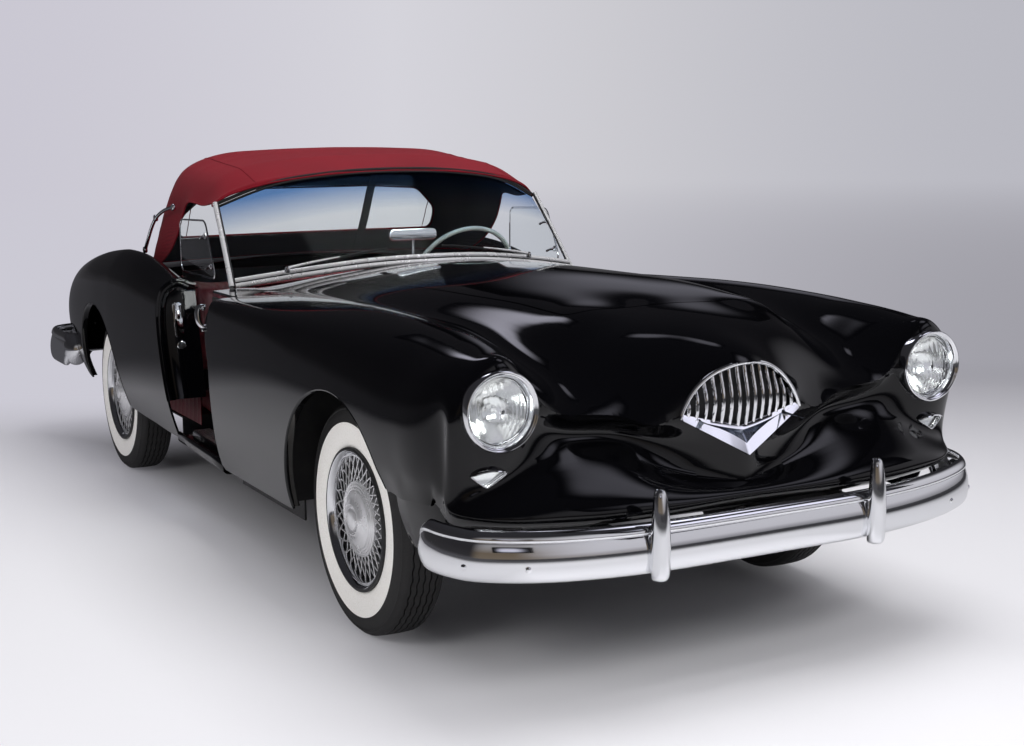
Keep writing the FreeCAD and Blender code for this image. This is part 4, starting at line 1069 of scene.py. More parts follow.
# Hide and vinyl: a net of fine creases between pebbles, darker down in the creases.
grain, into, out = effect("hide_grain", [("Scale", 320.0), ("Hide", (0.16, 0.012, 0.018, 1.0)),
                                         ("Crease", (0.05, 0.004, 0.006, 1.0))],
                          ["Color", "Height", "Roughness"])
where = shader_node(grain, "TexCoord")
pebble = shader_node(grain, "TexVoronoi")
pebble.feature = "DISTANCE_TO_EDGE"
patch = shader_node(grain, "TexNoise", Scale=7.0, Detail=4.0)
soften = shader_node(grain, "MapRange", From_Max=0.18)
mixer = shader_node(grain, "Mix")
mixer.data_type = "RGBA"
worn = shader_node(grain, "MapRange", To_Min=0.36, To_Max=0.56)
wire_up(grain, (where, "Object", pebble, "Vector"), (where, "Object", patch, "Vector"),
               (into, "Scale", pebble, "Scale"), (pebble, "Distance", soften, "Value"))
blotch = combined(grain, "MULTIPLY", soften.outputs["Result"], patch.outputs["Fac"])
lighter = shader_node(grain, "MapRange", From_Max=0.6)
wire_up(grain, (blotch, "Value", lighter, "Value"), (lighter, "Result", mixer, "Factor"),
               (into, "Crease", mixer, "A"), (into, "Hide", mixer, "B"), (mixer, "Result", out, "Color"),
               (soften, "Result", out, "Height"), (patch, "Fac", worn, "Value"),
               (worn, "Result", out, "Roughness"))


def hide(name, colour, crease_colour, scale, relief=0.00025):
    made, tree, shader = finish_called(name, Specular_IOR_Level=0.5)
    overlaid(tree, shader, grain, relief, 0.6, Scale=scale, Hide=(*colour, 1), Crease=(*crease_colour, 1))
    return made


oxblood_trim = hide("oxblood_trim", (0.17, 0.010, 0.016), (0.06, 0.004, 0.007), 420.0, 0.0002)

rows = []
for step in range(9):
    t = step / 8
    row = []
    for y, z in DOOR_SECTION:
        rear = jamb_x(z * 0.001) + 0.0075
        row.append(Vector((rear + (DOOR_FRONT_X - rear) * t, y * 0.001, z * 0.001)))
    rows.append(row)
door = smooth_skin(lofted("door_left_skin", rows), 2)
face_away(door, Vector((0.1, 0.5, 0.6)))
thicken(door, 0.003)
rows = []
for y, z in DOOR_SECTION:
    rear = jamb_x(z * 0.001) + 0.0080
    rows.append([Vector((rear, y * 0.001 - 0.001, z * 0.001)),
                 Vector((rear + 0.0015, y * 0.001 - 0.006, z * 0.001)),
                 Vector((rear + 0.002, max(0.7605, y * 0.001 - 0.020), z * 0.001)),
                 Vector((rear + 0.002, 0.7600, z * 0.001))])
edge_fold = thicken(lofted("door_left_edge", rows), 0.002, even=False)
door = joined("door_left_panel", door, edge_fold)
settle_both(door, "door_right_panel", "paint", black_lacquer, DOORS, (["door_left"], ["door_right"]),
            DOOR_TRAVEL, angle=35)

# Inner trim: a board covered in padded vinyl, with upright flutes and a bead round its edge.
rows = []
for step in range(61):
    t = step / 60
    row = []
    for k in range(17):
        z = 0.350 + 0.475 * k / 16
        rear = jamb_x(z) + 0.022
        edge = min(1.0, 6 * min(t, 1 - t), 5 * min(k / 16, 1 - k / 16) + 0.15)
        flute = 0.5 + 0.5 * math.cos(t * 2 * math.pi * 12) if 2 < k < 13 else 0.75
        row.append(Vector((rear + (0.395 - rear) * t, 0.7600 - 0.0085 * edge * (0.65 + 0.35 * flute), z)))
    rows.append(row)
trim = face_away(smooth_skin(lofted("door_left_trim", rows), 1, rounds=1), Vector((0.1, 0.9, 0.6)))
thicken(trim, 0.0015)
settle_both(trim, "door_right_trim", "trim", oxblood_trim, DOORS, shift=DOOR_TRAVEL, angle=60)


def rod(name, points, radius, resolution=4, ends=True, weights=None):
    """A round bar that runs smoothly through its points, each of its own thickness."""
    line = start(name, bpy.ops.curve.primitive_nurbs_path_add)
    line.data.splines.clear()
    spline = line.data.splines.new("NURBS")
    spline.points.add(len(points) - 1)
    for i, (control, p) in enumerate(zip(spline.points, points)):
        control.co = (*p, 1)
        control.radius = weights[i] if weights else 1.0
    spline.order_u = 3
    spline.use_endpoint_u = True
    line.data.resolution_u = 6
    line.data.bevel_depth = radius
    line.data.bevel_resolution = resolution
    line.data.use_fill_caps = ends
    bpy.ops.object.convert(target="MESH")
    made = bpy.context.active_object
    made.name = name
    made.data.name = name
    return outward(made)


pull_x = -0.192
grip = rod("door_left_pull", [(pull_x - 0.004, 0.823, 0.838), (pull_x - 0.006, 0.838, 0.842),
                              (pull_x - 0.006, 0.8485, 0.828), (pull_x - 0.004, 0.8500, 0.805),
                              (pull_x + 0.001, 0.8480, 0.782), (pull_x + 0.006, 0.836, 0.770),
                              (pull_x + 0.008, 0.826, 0.770)], 0.0075, 5,
           weights=[0.9, 1.0, 1.15, 1.3, 1.1, 0.95, 0.9])
for vertex in grip.data.vertices:
    vertex.co.x = pull_x + (vertex.co.x - pull_x) * 1.5
foot = start("door_pull_foot", bpy.ops.mesh.primitive_cylinder_add, vertices=32, radius=0.011, depth=0.010,
             location=(pull_x + 0.010, 0.829, 0.768), rotation=(math.radians(90), 0, 0))
bpy.ops.object.transform_apply(location=True, rotation=True, scale=True)
rounded(foot, 0.002, 3)
head = copy_of(foot, "door_pull_head")
for vertex in head.data.vertices:
    vertex.co.z += 0.068
    vertex.co.x -= 0.014
button = start("door_pull_button", bpy.ops.mesh.primitive_cylinder_add, vertices=24, radius=0.0065,
               depth=0.022, location=(pull_x + 0.026, 0.836, 0.764), rotation=(math.radians(90), 0, 0))
bpy.ops.object.transform_apply(location=True, rotation=True, scale=True)
rounded(button, 0.0015, 3)
rows = []
for t in (0.0, 0.25, 0.5, 0.75, 1.0):
    rows.append([Vector((jamb_x(z) + 0.012 + (0.410 - jamb_x(z) - 0.012) * t, y, z))
                 for y, z in CAP_SECTION])
capping = thicken(face_away(lofted("door_cap", rows), Vector((0.1, 0.77, 0.70))), 0.0012)
pull = joined("door_left_brightwork", grip, foot, head, button, capping)
settle_both(pull, "door_right_brightwork", "chrome", chrome, DOORS, shift=DOOR_TRAVEL, angle=35)


# ---- Sills ------------------------------------------------------------------------------
# Under each door: a painted rocker that joins the two mouldings, a black channel that the
# door runs in, and a brushed tread plate held by small screws.

SILL_REAR_X = -0.112
SILL_FRONT_X = DOOR_MOUTH_X + 0.004
ROCKER = [(0.700, 0.300), (0.790, 0.297), (0.803, 0.299), (0.8105, 0.305), (0.8135, 0.314), (0.8140, 0.325),
          (0.8125, 0.334), (0.8090, 0.3385), (0.8050, 0.3375), (0.8035, 0.332), (0.8030, 0.316),
          (0.7570, 0.316), (0.7565, 0.332), (0.7550, 0.3370)]
PLATE = [(0.7545, 0.3365), (0.7535, 0.3395), (0.7500, 0.3400), (0.6960, 0.3400), (0.6925, 0.3380),
         (0.6920, 0.330)]

black_satin, tree, shader = finish_called("chassis_black", Base_Color=(0.012, 0.012, 0.013, 1),
                                          Roughness=0.42)
overlaid(tree, shader, rubbed, 0.0002, 0.5, Scale=14.0, Clear=0.34, Hazy=0.62, Ripple_Scale=220.0)

# Brushed metal: long fine scratches along one line of the piece.
brushed, into, out = effect("brushed_lines", [("Along", 3.0), ("Across", 900.0)],
                            ["Roughness", "Height"])
where = shader_node(brushed, "TexCoord")
parts = shader_node(brushed, "SeparateXYZ")
wire_up(brushed, (where, "Object", parts, "Vector"))
stretch = shader_node(brushed, "CombineXYZ")
for axis, source in (("X", "Along"), ("Y", "Across"), ("Z", "Across")):
    scaled = combined(brushed, "MULTIPLY", parts.outputs[axis], into.outputs[source])
    brushed.links.new(scaled.outputs["Value"], stretch.inputs[axis])
streak = shader_node(brushed, "TexNoise", Scale=1.0, Detail=3.0)
wire_up(brushed, (stretch, "Vector", streak, "Vector"))
sheen = shader_node(brushed, "MapRange", To_Min=0.18, To_Max=0.42)
wire_up(brushed, (streak, "Fac", sheen, "Value"), (sheen, "Result", out, "Roughness"),
                 (streak, "Fac", out, "Height"))

tread_plate, tree, shader = finish_called("brushed_plate", Metallic=1.0)
overlaid(tree, shader, brushed, 0.0001, 0.4, [(0.0, (0.44, 0.43, 0.42)), (1.0, (0.72, 0.71, 0.70))],
         Along=4.0, Across=700.0)


def along_sill(name, section, drop, front, rear):
    """A section carried straight along the sill; it falls a little toward the front."""
    rows = []
    for step in range(5):
        t = step / 4
        rows.append([Vector((rear + (front - rear) * t, y, z - drop * t)) for y, z in section])
    piece = lofted(name, rows)
    face_away(piece, Vector((0.15, 0.76, 0.20)))
    return thicken(piece, 0.0015)


rocker = rounded(along_sill("rocker_left", ROCKER, 0.018, SILL_FRONT_X, SILL_REAR_X), 0.0005, 1)
for face in rocker.data.polygons:
    face.material_index = 1 if 0.7555 < face.center.y < 0.8045 and face.center.z > 0.296 else 0
for piece in settle_both(rocker, "rocker_right", "paint", black_lacquer, angle=50):
    piece.data.materials.append(black_satin)
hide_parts("sills")
plate = along_sill("tread_plate_left", PLATE, 0.010, 0.398, SILL_REAR_X + 0.004)
ribs = []
for k in range(5):
    y = 0.704 + 0.0105 * k
    rib = rod("tread_rib", [(SILL_REAR_X + 0.02, y, 0.3402), (0.13, y, 0.3352), (0.385, y, 0.3304)],
              0.0016, 2)
    ribs.append(rib)
screws = []
for x in (-0.095, 0.035, 0.165, 0.295, 0.385):
    t = (x - SILL_REAR_X) / (0.398 - SILL_REAR_X)
    screw = start("tread_screw", bpy.ops.mesh.primitive_cylinder_add, vertices=16, radius=0.0036,
                  depth=0.0020, location=(x, 0.7495, 0.3405 - 0.010 * t))
    bpy.ops.object.transform_apply(location=True, rotation=True, scale=True)
    screws.append(rounded(screw, 0.0008, 2))
plate = joined("tread_plate_left", plate, *ribs, *screws)
settle_both(plate, "tread_plate_right", "sill_plate", tread_plate, angle=35)

# Striker on each jamb: a bright loop on a plate, with a rubber buffer below it.
striker_parts = []
loop_x = jamb_x(0.735) - 0.0085
striker_parts.append(rod("striker_loop", [(loop_x - 0.012, 0.752, 0.790), (loop_x - 0.012, 0.750, 0.740),
                                          (loop_x - 0.006, 0.750, 0.690), (loop_x + 0.002, 0.764, 0.672),
                                          (loop_x - 0.002, 0.779, 0.690), (loop_x - 0.010, 0.779, 0.740),
                                          (loop_x - 0.014, 0.777, 0.790)],
                         0.0042, 4))
outline = round_corners([(0.746, 0.797), (0.783, 0.797), (0.781, 0.673), (0.748, 0.673)], 0.012)
back = block_from("striker_back", [Vector((jamb_x(p.y) - 0.0170, p.x, p.y)) for p in outline],
                  (0.0025, 0, 0))
striker_parts.append(rounded(back, 0.0008, 2))
outline = [(0.757, 0.770), (0.772, 0.770), (0.771, 0.738), (0.758, 0.738)]
tongue = block_from("striker_tongue", [Vector((jamb_x(z) - 0.016, y, z)) for y, z in outline],
                    (0.009, 0, 0.001))
striker_parts.append(rounded(tongue, 0.002, 3))
striker = joined("striker_left", *striker_parts)
settle_both(striker, "striker_right", "chrome", chrome, angle=35)
buffer_x = jamb_x(0.642) - 0.0220
profile = [(0.0, 0.0145), (0.0060, 0.0135), (0.0105, 0.0105), (0.0125, 0.0060), (0.0130, 0.0010)]


def turned(name, section, centre, axis, steps=96):
    """A section of (radius, offset along the axis) turned a full circle, as on a lathe."""
    axis = Vector(axis).normalized()
    side = axis.orthogonal().normalized()
    piece = start(name, bpy.ops.mesh.primitive_circle_add, vertices=max(len(section), 3))
    mesh = piece.data
    outline = bmesh.new()
    made = [outline.verts.new(Vector(centre) + side * r + axis * d) for r, d in section]
    for a, b in zip(made, made[1:]):
        outline.edges.new((a, b))
    outline.to_mesh(mesh)
    outline.free()
    edit(piece, (bpy.ops.mesh.spin, {"steps": steps, "angle": 2 * math.pi, "center": centre, "axis": axis}))
    return outward(piece)


rubber, tree, shader = finish_called("black_rubber", Base_Color=(0.014, 0.014, 0.015, 1))
overlaid(tree, shader, rubbed, 0.0003, 0.5, Scale=20.0, Clear=0.55, Hazy=0.80, Ripple_Scale=500.0)
buffer = turned("door_buffer_left", profile, (buffer_x + 0.004, 0.762, 0.642), (1, 0, 0), 32)
ring = turned("door_buffer_ring", [(0.0165, 0.0), (0.0165, 0.003), (0.0140, 0.0045), (0.0125, 0.0030),
                                   (0.0125, 0.0), (0.0165, 0.0)],
              (buffer_x + 0.004, 0.762, 0.642), (1, 0, 0), 32)
painted(ring, chrome)
painted(buffer, rubber)
buffer = joined("door_buffer_left", buffer, ring)
settle_both(buffer, "door_buffer_right", "chassis", None)


# ---- Tyres and wheels -------------------------------------------------------------------
# Cross-ply tyres with a broad pale wall, moulded ribs and zigzag grooves, on steel rims that
# carry bright covers: a rim band, a ring of crossed wires and a ringed centre with a plain cap.

WALL = [(0.2045, 0.0585), (0.2085, 0.0625), (0.2160, 0.0655), (0.2300, 0.0690), (0.2480, 0.0712),
        (0.2640, 0.0720), (0.2735, 0.0718), (0.2752, 0.0724), (0.2766, 0.0716), (0.2800, 0.0708),
        (0.2930, 0.0695), (0.3060, 0.0660), (0.3120, 0.0636), (0.3135, 0.0650), (0.3175, 0.0640),
        (0.3190, 0.0610), (0.3240, 0.0570), (0.3285, 0.0520), (0.3310, 0.0470)]
GROOVES = [0.0365, 0.0185, 0.0, -0.0185, -0.0365]      # distances from the middle of the tread
GROOVE_HALF = 0.0019
GROOVE_DEPTH = 0.0060
WHITE_INNER, WHITE_OUTER = 0.2060, 0.2760
TREAD_STEPS = 192

tread = []
for y in GROOVES:
    crown = 0.3330 - 0.9 * y * y
    tread += [(crown, y + GROOVE_HALF + 0.0006), (crown - GROOVE_DEPTH, y + GROOVE_HALF - 0.0004),
              (crown - GROOVE_DEPTH, y - GROOVE_HALF + 0.0004), (crown, y - GROOVE_HALF - 0.0006)]
section = WALL + tread + [(r, -y) for r, y in reversed(WALL)] + [(0.2000, -0.0560), (0.2000, 0.0560),
                                                                 WALL[0]]
master_tyre = turned("tyre", section, (0, 0, 0), (0, 1, 0), TREAD_STEPS)
for vertex in master_tyre.data.vertices:
    radius = math.hypot(vertex.co.x, vertex.co.z)
    if radius > 0.3235 and abs(vertex.co.y) < 0.0455:
        turn = round(math.atan2(vertex.co.z, vertex.co.x) / (2 * math.pi) * TREAD_STEPS)
        vertex.co.y += (0.0017, 0.0017, -0.0017, -0.0017)[turn % 4]
whitewall, tree, shader = finish_called("pale_wall", Specular_IOR_Level=0.35)
overlaid(tree, shader, rubbed, 0.00015, 0.4, [(0.30, (0.86, 0.835, 0.77)), (0.55, (0.95, 0.93, 0.875))],
         Scale=11.0, Clear=0.42, Hazy=0.62, Ripple_Scale=260.0)
tyre_black, tree, shader = finish_called("tyre_black", Specular_IOR_Level=0.4)
overlaid(tree, shader, rubbed, 0.0003, 0.5, [(0.0, (0.012, 0.012, 0.0125)), (1.0, (0.030, 0.029, 0.028))],
         Scale=6.0, Clear=0.55, Hazy=0.82, Ripple_Scale=340.0)
master_tyre.data.materials.append(tyre_black)
master_tyre.data.materials.append(whitewall)
for face in master_tyre.data.polygons:
    radius = math.hypot(face.center.x, face.center.z)
    face.material_index = 1 if face.center.y > 0.055 and WHITE_INNER < radius < WHITE_OUTER else 0

RIM = [(0.2040, 0.0580), (0.2062, 0.0640), (0.2050, 0.0690), (0.2010, 0.0712), (0.1965, 0.0705),
       (0.1925, 0.0675), (0.1885, 0.0618), (0.1862, 0.0575), (0.1850, 0.0568), (0.1835, 0.0590),
       (0.1815, 0.0590), (0.1800, 0.0560), (0.1792, 0.0420), (0.1790, 0.0250), (0.1740, 0.0200),
       (0.1740, -0.0520), (0.1850, -0.0580), (0.2030, -0.0660), (0.2030, -0.0560), (0.1960, -0.0480),
       (0.1960, 0.0480), (0.2040, 0.0580)]
COVER = [(0.0960, 0.0250), (0.1080, 0.0300), (0.1095, 0.0480), (0.1085, 0.0545), (0.1055, 0.0565),
         (0.1035, 0.0550), (0.1015, 0.0545), (0.1000, 0.0572), (0.0970, 0.0582), (0.0950, 0.0565),
         (0.0932, 0.0562), (0.0915, 0.0590), (0.0885, 0.0600), (0.0865, 0.0582), (0.0848, 0.0580),
         (0.0830, 0.0608), (0.0790, 0.0622), (0.0700, 0.0640), (0.0600, 0.0668), (0.0520, 0.0705),
         (0.0475, 0.0745), (0.0455, 0.0768), (0.0430, 0.0768), (0.0415, 0.0740), (0.0400, 0.0690),
         (0.0360, 0.0680), (0.0340, 0.0700), (0.0325, 0.0760), (0.0290, 0.0788), (0.0200, 0.0812),
         (0.0100, 0.0824), (0.0, 0.0828)]
SPOKES = 30
rim = turned("wheel_rim", RIM, (0, 0, 0), (0, 1, 0), 96)
cover = turned("wheel_cover", COVER, (0, 0, 0), (0, 1, 0), 96)
rounded(cover, 0.0004, 1, 25)
bed = turned("wheel_bed", [(0.1785, 0.0260), (0.1700, 0.0190), (0.1350, 0.0160), (0.1000, 0.0180),
                           (0.0950, 0.0260), (0.0400, 0.0260), (0.0400, 0.0060), (0.1720, 0.0060),
                           (0.1785, 0.0260)],
             (0, 0, 0), (0, 1, 0), 96)
wires = []
for layer, (lean, lift) in enumerate(((0.15, 0.0), (-0.15, 0.0035))):
    for k in range(SPOKES):
        angle = 2 * math.pi * (k + 0.5 * layer) / SPOKES
        inner = Vector((math.cos(angle - lean), 0,
                        math.sin(angle - lean))) * 0.1055 + Vector((0, 0.0480 + lift, 0))
        outer = Vector((math.cos(angle + lean), 0,
                        math.sin(angle + lean))) * 0.1800 + Vector((0, 0.0375 + lift, 0))
        line = outer - inner
        turn = Vector((0, 0, 1)).rotation_difference(line).to_euler()
        wire = start("wire", bpy.ops.mesh.primitive_cylinder_add, vertices=8, radius=0.0019,
                     depth=line.length, end_fill_type="NOTHING", location=(inner + outer) / 2, rotation=turn)
        nipple = start("nipple", bpy.ops.mesh.primitive_cone_add, vertices=8, radius1=0.0024, radius2=0.0038,
                       depth=0.012, end_fill_type="NOTHING", location=outer - line.normalized() * 0.005,
                       rotation=turn)
        wires += [wire, nipple]
wires = joined("wheel_wires", *wires)
bpy.ops.object.transform_apply(location=True, rotation=True, scale=True)
satin_plate, tree, shader = finish_called("satin_plate", Base_Color=(0.80, 0.80, 0.81, 1), Metallic=0.60)
dulled = placed(tree, rubbed, Scale=9.0, Clear=0.20, Hazy=0.34, Ripple_Scale=120.0)
wire_up(tree, (dulled, "Roughness", shader, "Roughness"))
painted(rim, chrome)
rim.data.materials.append(black_satin)
# Faces of the rim's outer lip, past 0.195 m, and those toward the back are black satin; on the lip the black
# is painted shade of the recessed step beside the pale wall.
for face in rim.data.polygons:
    face.material_index = int(math.hypot(face.center.x, face.center.z) > 0.1950 or face.center.y < 0.045)
painted(cover, satin_plate)
painted(wires, satin_plate)
painted(bed, black_satin)
master_wheel = joined("wheel", rim, cover, wires, bed)


def moved_copy(piece, name, x, y, z, mirror):
    twin = copy_of(piece, name)
    for vertex in twin.data.vertices:
        vertex.co.y = vertex.co.y * mirror + y
        vertex.co.x += x
        vertex.co.z += z
    if mirror < 0:
        twin.data.flip_normals()
    return twin


AXLES = [("front", 1.388), ("rear", -1.152)]
HALF_TRACK = 0.686
HUB_HEIGHT = 0.333
for end, x in AXLES:
    for label, side in (("left", 1), ("right", -1)):
        corner = end + "_" + label
        tyre = moved_copy(master_tyre, "tyre_" + corner + "_rubber", x, side * HALF_TRACK, HUB_HEIGHT, side)
        settle(tyre, "road_wheel_" + corner, "tyre", None, "tyre_" + corner, angle=38)
        wheel = moved_copy(master_wheel, "wheel_" + corner + "_cover", x, side * HALF_TRACK,
                           HUB_HEIGHT, side)
        settle(wheel, "road_wheel_" + corner, "wheel", None, "wheel_" + corner, angle=30)
bpy.data.objects.remove(master_tyre)
bpy.data.objects.remove(master_wheel)


# ---- Bumpers ----------------------------------------------------------------------------
# Pressed steel bars with a rolled lip along the top and a full lower bulge, plated bright,
# with round-headed bolts and two upright guards each.

FRONT_LINE = [(2312, 0, 0), (2306, 340, 0), (2270, 590, 4), (2206, 768, 13), (2120, 838, 18),
              (2005, 858, 21)]
REAR_LINE = [(-2316, 0, 0), (-2312, 340, 0), (-2280, 600, 4), (-2190, 775, 10), (-2040, 848, 14),
             (-1700, 858, 18)]
BAR_SECTION = [(26, -0.455), (18, -0.492), (10, -0.478), (4, -0.40), (1, -0.29), (0, -0.16),
               (1, -0.03), (4, 0.10), (8, 0.20), (10.5, 0.255), (11.5, 0.275), (8.5, 0.292),
               (8.5, 0.335), (12, 0.400), (19, 0.465), (28, 0.492)]
GUARD_RINGS = [(0.000, 0.50, 14), (0.012, 0.80, 7), (0.05, 0.95, 2.5), (0.16, 1.00, 0.5),
               (0.34, 1.00, 0), (0.50, 0.97, 0), (0.60, 0.94, 1.5), (0.70, 0.88, 4), (0.80, 0.80, 7),
               (0.90, 0.70, 11), (0.965, 0.56, 15), (0.99, 0.42, 19), (1.0, 0.18, 24)]
GUARD_PLAN = [(1.0, -0.62), (0.72, -0.98), (0.50, -1.0), (0.24, -0.82), (0.07, -0.45), (0.0, -0.10),
              (0.0, 0.10), (0.07, 0.45), (0.24, 0.82), (0.50, 1.0), (0.72, 0.98), (1.0, 0.62)]


def pressed_bar(name, line, middle, height, inside):
    half = smooth_line([Vector((x, y, rise)) for x, y, rise in line], 5)
    half[-1:] = [half[-2].lerp(half[-1], share) for share in (0.35, 0.60, 0.80, 0.93, 1.0)]
    path = both_sides(half)
    whole = sum((b - a).length for a, b in zip(path, path[1:]))
    rows = []
    run = 0.0
    for i, p in enumerate(path):
        if i:
            run += (p - path[i - 1]).length
        along = (path[min(i + 1, len(path) - 1)] - path[max(i - 1, 0)]).normalized()
        face = Vector((along.y, -along.x, 0)).normalized()
        if face.dot(Vector((p.x - inside, p.y, 0))) < 0:
            face = -face
        left = min(1.0, min(run, whole - run) / 55.0)
        curve = math.sqrt(1 - (1 - left) ** 2)
        full = 0.10 + 0.90 * curve
        tuck = 24.0 * (1 - curve)
        rows.append([(p - face * (d + tuck * (1 - abs(h)))
                      + Vector((0, 0, middle + h * full * height))) * 0.001 for d, h in BAR_SECTION])
    bar = smooth_skin(lofted(name, rows), 1, rounds=2)
    face_away(bar, Vector((inside * 0.001, 0, middle * 0.001)))
    return thicken(bar, 0.0025)


def closed_stack(name, rings):
    """Rings of points stacked into a solid piece, closed at both ends."""
    rows = [[sum(rings[0], Vector()) / len(rings[0])] * (len(rings[0]) + 1)]
    rows += [ring + [ring[0]] for ring in rings]
    rows += [[sum(rings[-1], Vector()) / len(rings[-1])] * (len(rings[0]) + 1)]
    return outward(lofted(name, rows))


def upright_guard(name, x, y, foot, top, depth):
    face = math.copysign(1, x)
    rings = []
    for t, width, set_back in GUARD_RINGS:
        z = foot + (top - foot) * t
        reach = depth - set_back if t < 0.5 else (depth - set_back) * (1 - 0.35 * (t - 0.5))
        rings.append([Vector((x - face * (set_back + reach * d), y + 27 * width * w, z)) * 0.001
                      for d, w in GUARD_PLAN])
    guard = closed_stack(name, rings)
    fine = guard.modifiers.new("smooth", "SUBSURF")
    fine.levels = fine.render_levels = 2
    return apply_all(guard)


def bolt_head(name, at, axis, radius, tall):
    section = [(radius * 1.35, 0.0), (radius * 1.35, tall * 0.18), (radius * 1.05, tall * 0.30),
               (radius, tall * 0.45), (radius * 0.82, tall * 0.82), (radius * 0.45, tall * 0.97),
               (0.0, tall)]
    return turned(name, section, at, axis, 24)


def slab(name, low, high, width=0.004, segments=3):
    """A box from corner to corner with softened edges."""
    piece = start(name, bpy.ops.mesh.primitive_cube_add, size=1,
                  location=[(a + b) / 2 for a, b in zip(low, high)])
    piece.scale = [b - a for a, b in zip(low, high)]
    bpy.ops.object.transform_apply(location=True, rotation=True, scale=True)
    return rounded(piece, width, segments)


for name, line, middle, height, inside, guard_x, foot, top, node in (
        ("front_bumper_bar", FRONT_LINE, 409, 128, 1900, 2337.5, 330.5, 559.5, "front_bumper"),
        ("rear_bumper_bar", REAR_LINE, 428, 150, -1800, -2337.5, 345.5, 574.5, "rear_bumper")):
    parts = [pressed_bar(name, line, middle, height, inside)]
    ahead = math.copysign(1, guard_x)
    for side in (1, -1):
        parts.append(upright_guard(name + "_guard", guard_x, side * 341, foot, top, 44))
        arm_x = (2.233, 2.296) if ahead > 0 else (-2.300, -2.223)
        arm_z = (0.368, 0.408) if ahead > 0 else (0.290, 0.334)
        parts.append(slab(name + "_arm", (arm_x[0], side * 0.372 - 0.019, arm_z[0]),
                          (arm_x[1], side * 0.372 + 0.019, arm_z[1]), 0.003, 2))
        if ahead < 0:
            end = start(name + "_end", bpy.ops.mesh.primitive_uv_sphere_add, segments=48,
                        ring_count=24, radius=1, location=(-1.735, side * 0.800, 0.446))
            end.scale = (0.075, 0.057, 0.073)
            bpy.ops.object.transform_apply(location=True, rotation=True, scale=True)
            parts.append(end)
        half = smooth_line([Vector((x, y, rise)) for x, y, rise in line], 5)
        for at in (12, 17, 7):
            if at == 7 and ahead > 0:
                continue
            p = half[at]
            along = (half[at + 1] - half[at - 1]).normalized()
            out_x, out_y = along.y, -along.x
            if out_x * (p.x - inside) + out_y * p.y < 0:
                out_x, out_y = -out_x, -out_y
            spot = Vector((p.x - out_x * 1.0, side * (p.y - out_y * 1.0),
                           middle + p.z - 0.21 * height)) * 0.001
            parts.append(bolt_head(name + "_bolt", spot, (out_x, side * out_y, -0.10), 0.0062, 0.0050))
    bumper = joined(name, *parts)
    settle(bumper, "car_body", "chrome", chrome, node, angle=38)


# ---- Grille -----------------------------------------------------------------------------
# A fan of fourteen curved bars behind an arched bright frame. The broad plate below them
# leans back toward the bars and has a faceted hollow with wing-shaped sides, tinted darker as painted shade.

FRAME_X = [(0.0, 2.2030), (0.06, 2.1935), (0.10, 2.1815), (0.15, 2.1745), (0.191, 2.1735)]
PLATE_X = [(0.0, 2.2134), (0.05, 2.2050), (0.10, 2.1955), (0.15, 2.1865), (0.191, 2.1790)]
BARS = 14


def read_off(table, at):
    """A value from a table of pairs, in a straight line between them."""
    for (a, u), (b, v) in zip(table, table[1:]):
        if at <= b:
            return u + (v - u) * (at - a) / (b - a)
    return table[-1][1]


def plate_top(y):
    return min(0.6600 + 0.044 * (abs(y) / 0.185) ** 1.1, grille_top(y) - 0.0005)


# The hollow's finish: the plate's chrome tinted darker and bluer, painted shade in the recess.
hollow_shade_finish, tree, shader = finish_called("hollow_painted_shade", Base_Color=(0.30, 0.33, 0.39, 1), Metallic=1.0,
                                     Roughness=0.2)
overlaid(tree, shader, rubbed, 0.0001, 0.4, Scale=30.0, Clear=0.16, Hazy=0.30, Ripple_Scale=200.0)
grille_parts = []
frame_points = [Vector((read_off(FRAME_X, abs(y)), y * 1.0, grille_top(y))) for y in arch_line]
hoop = rod("grille_frame", frame_points, 0.0060, 5)
for vertex in hoop.data.vertices:
    vertex.co.y = max(-0.1909, min(0.1909, vertex.co.y))
    vertex.co.z = min(0.8269, vertex.co.z)
grille_parts.append(hoop)
rows = []
for k in range(-30, 31):
    y = 0.1905 * k / 30
    foot, top, reach = grille_foot(y), plate_top(y), max(0.0, 1 - abs(y) / 0.135)
    lean = 0.034 - 0.026 * abs(y) / 0.191
    front = read_off(PLATE_X, abs(y))
    upper = 0.30 - 0.15 * reach
    lower = 0.30 + 0.02 * reach + 0.28 * reach ** 2.2
    fold = upper + 0.34 * (lower - upper)
    row = [Vector((front - 0.020, y, foot + 0.0012)), Vector((front - 0.0015, y, foot)),
           Vector((front, y, foot + 0.0015))]
    hollow = min(1.0, reach * 6)
    for t, sink in ((lower, 0.0), (lower - 0.006, 0.0015 * hollow), (fold, 0.010 * min(1.0, reach * 1.6)),
                    (upper + 0.006, 0.0015 * hollow), (upper, 0.0), (0.012, 0.0)):
        row.append(Vector((front - lean * (1 - t) - sink, y, top + (foot - top) * t)))
    row.append(Vector((front - lean - 0.0005, y, top)))
    row.append(Vector((front - lean - 0.012, y, top - 0.001)))
    rows.append(row)
plate = face_away(lofted("grille_plate", rows), Vector((1.9, 0, 0.70)))
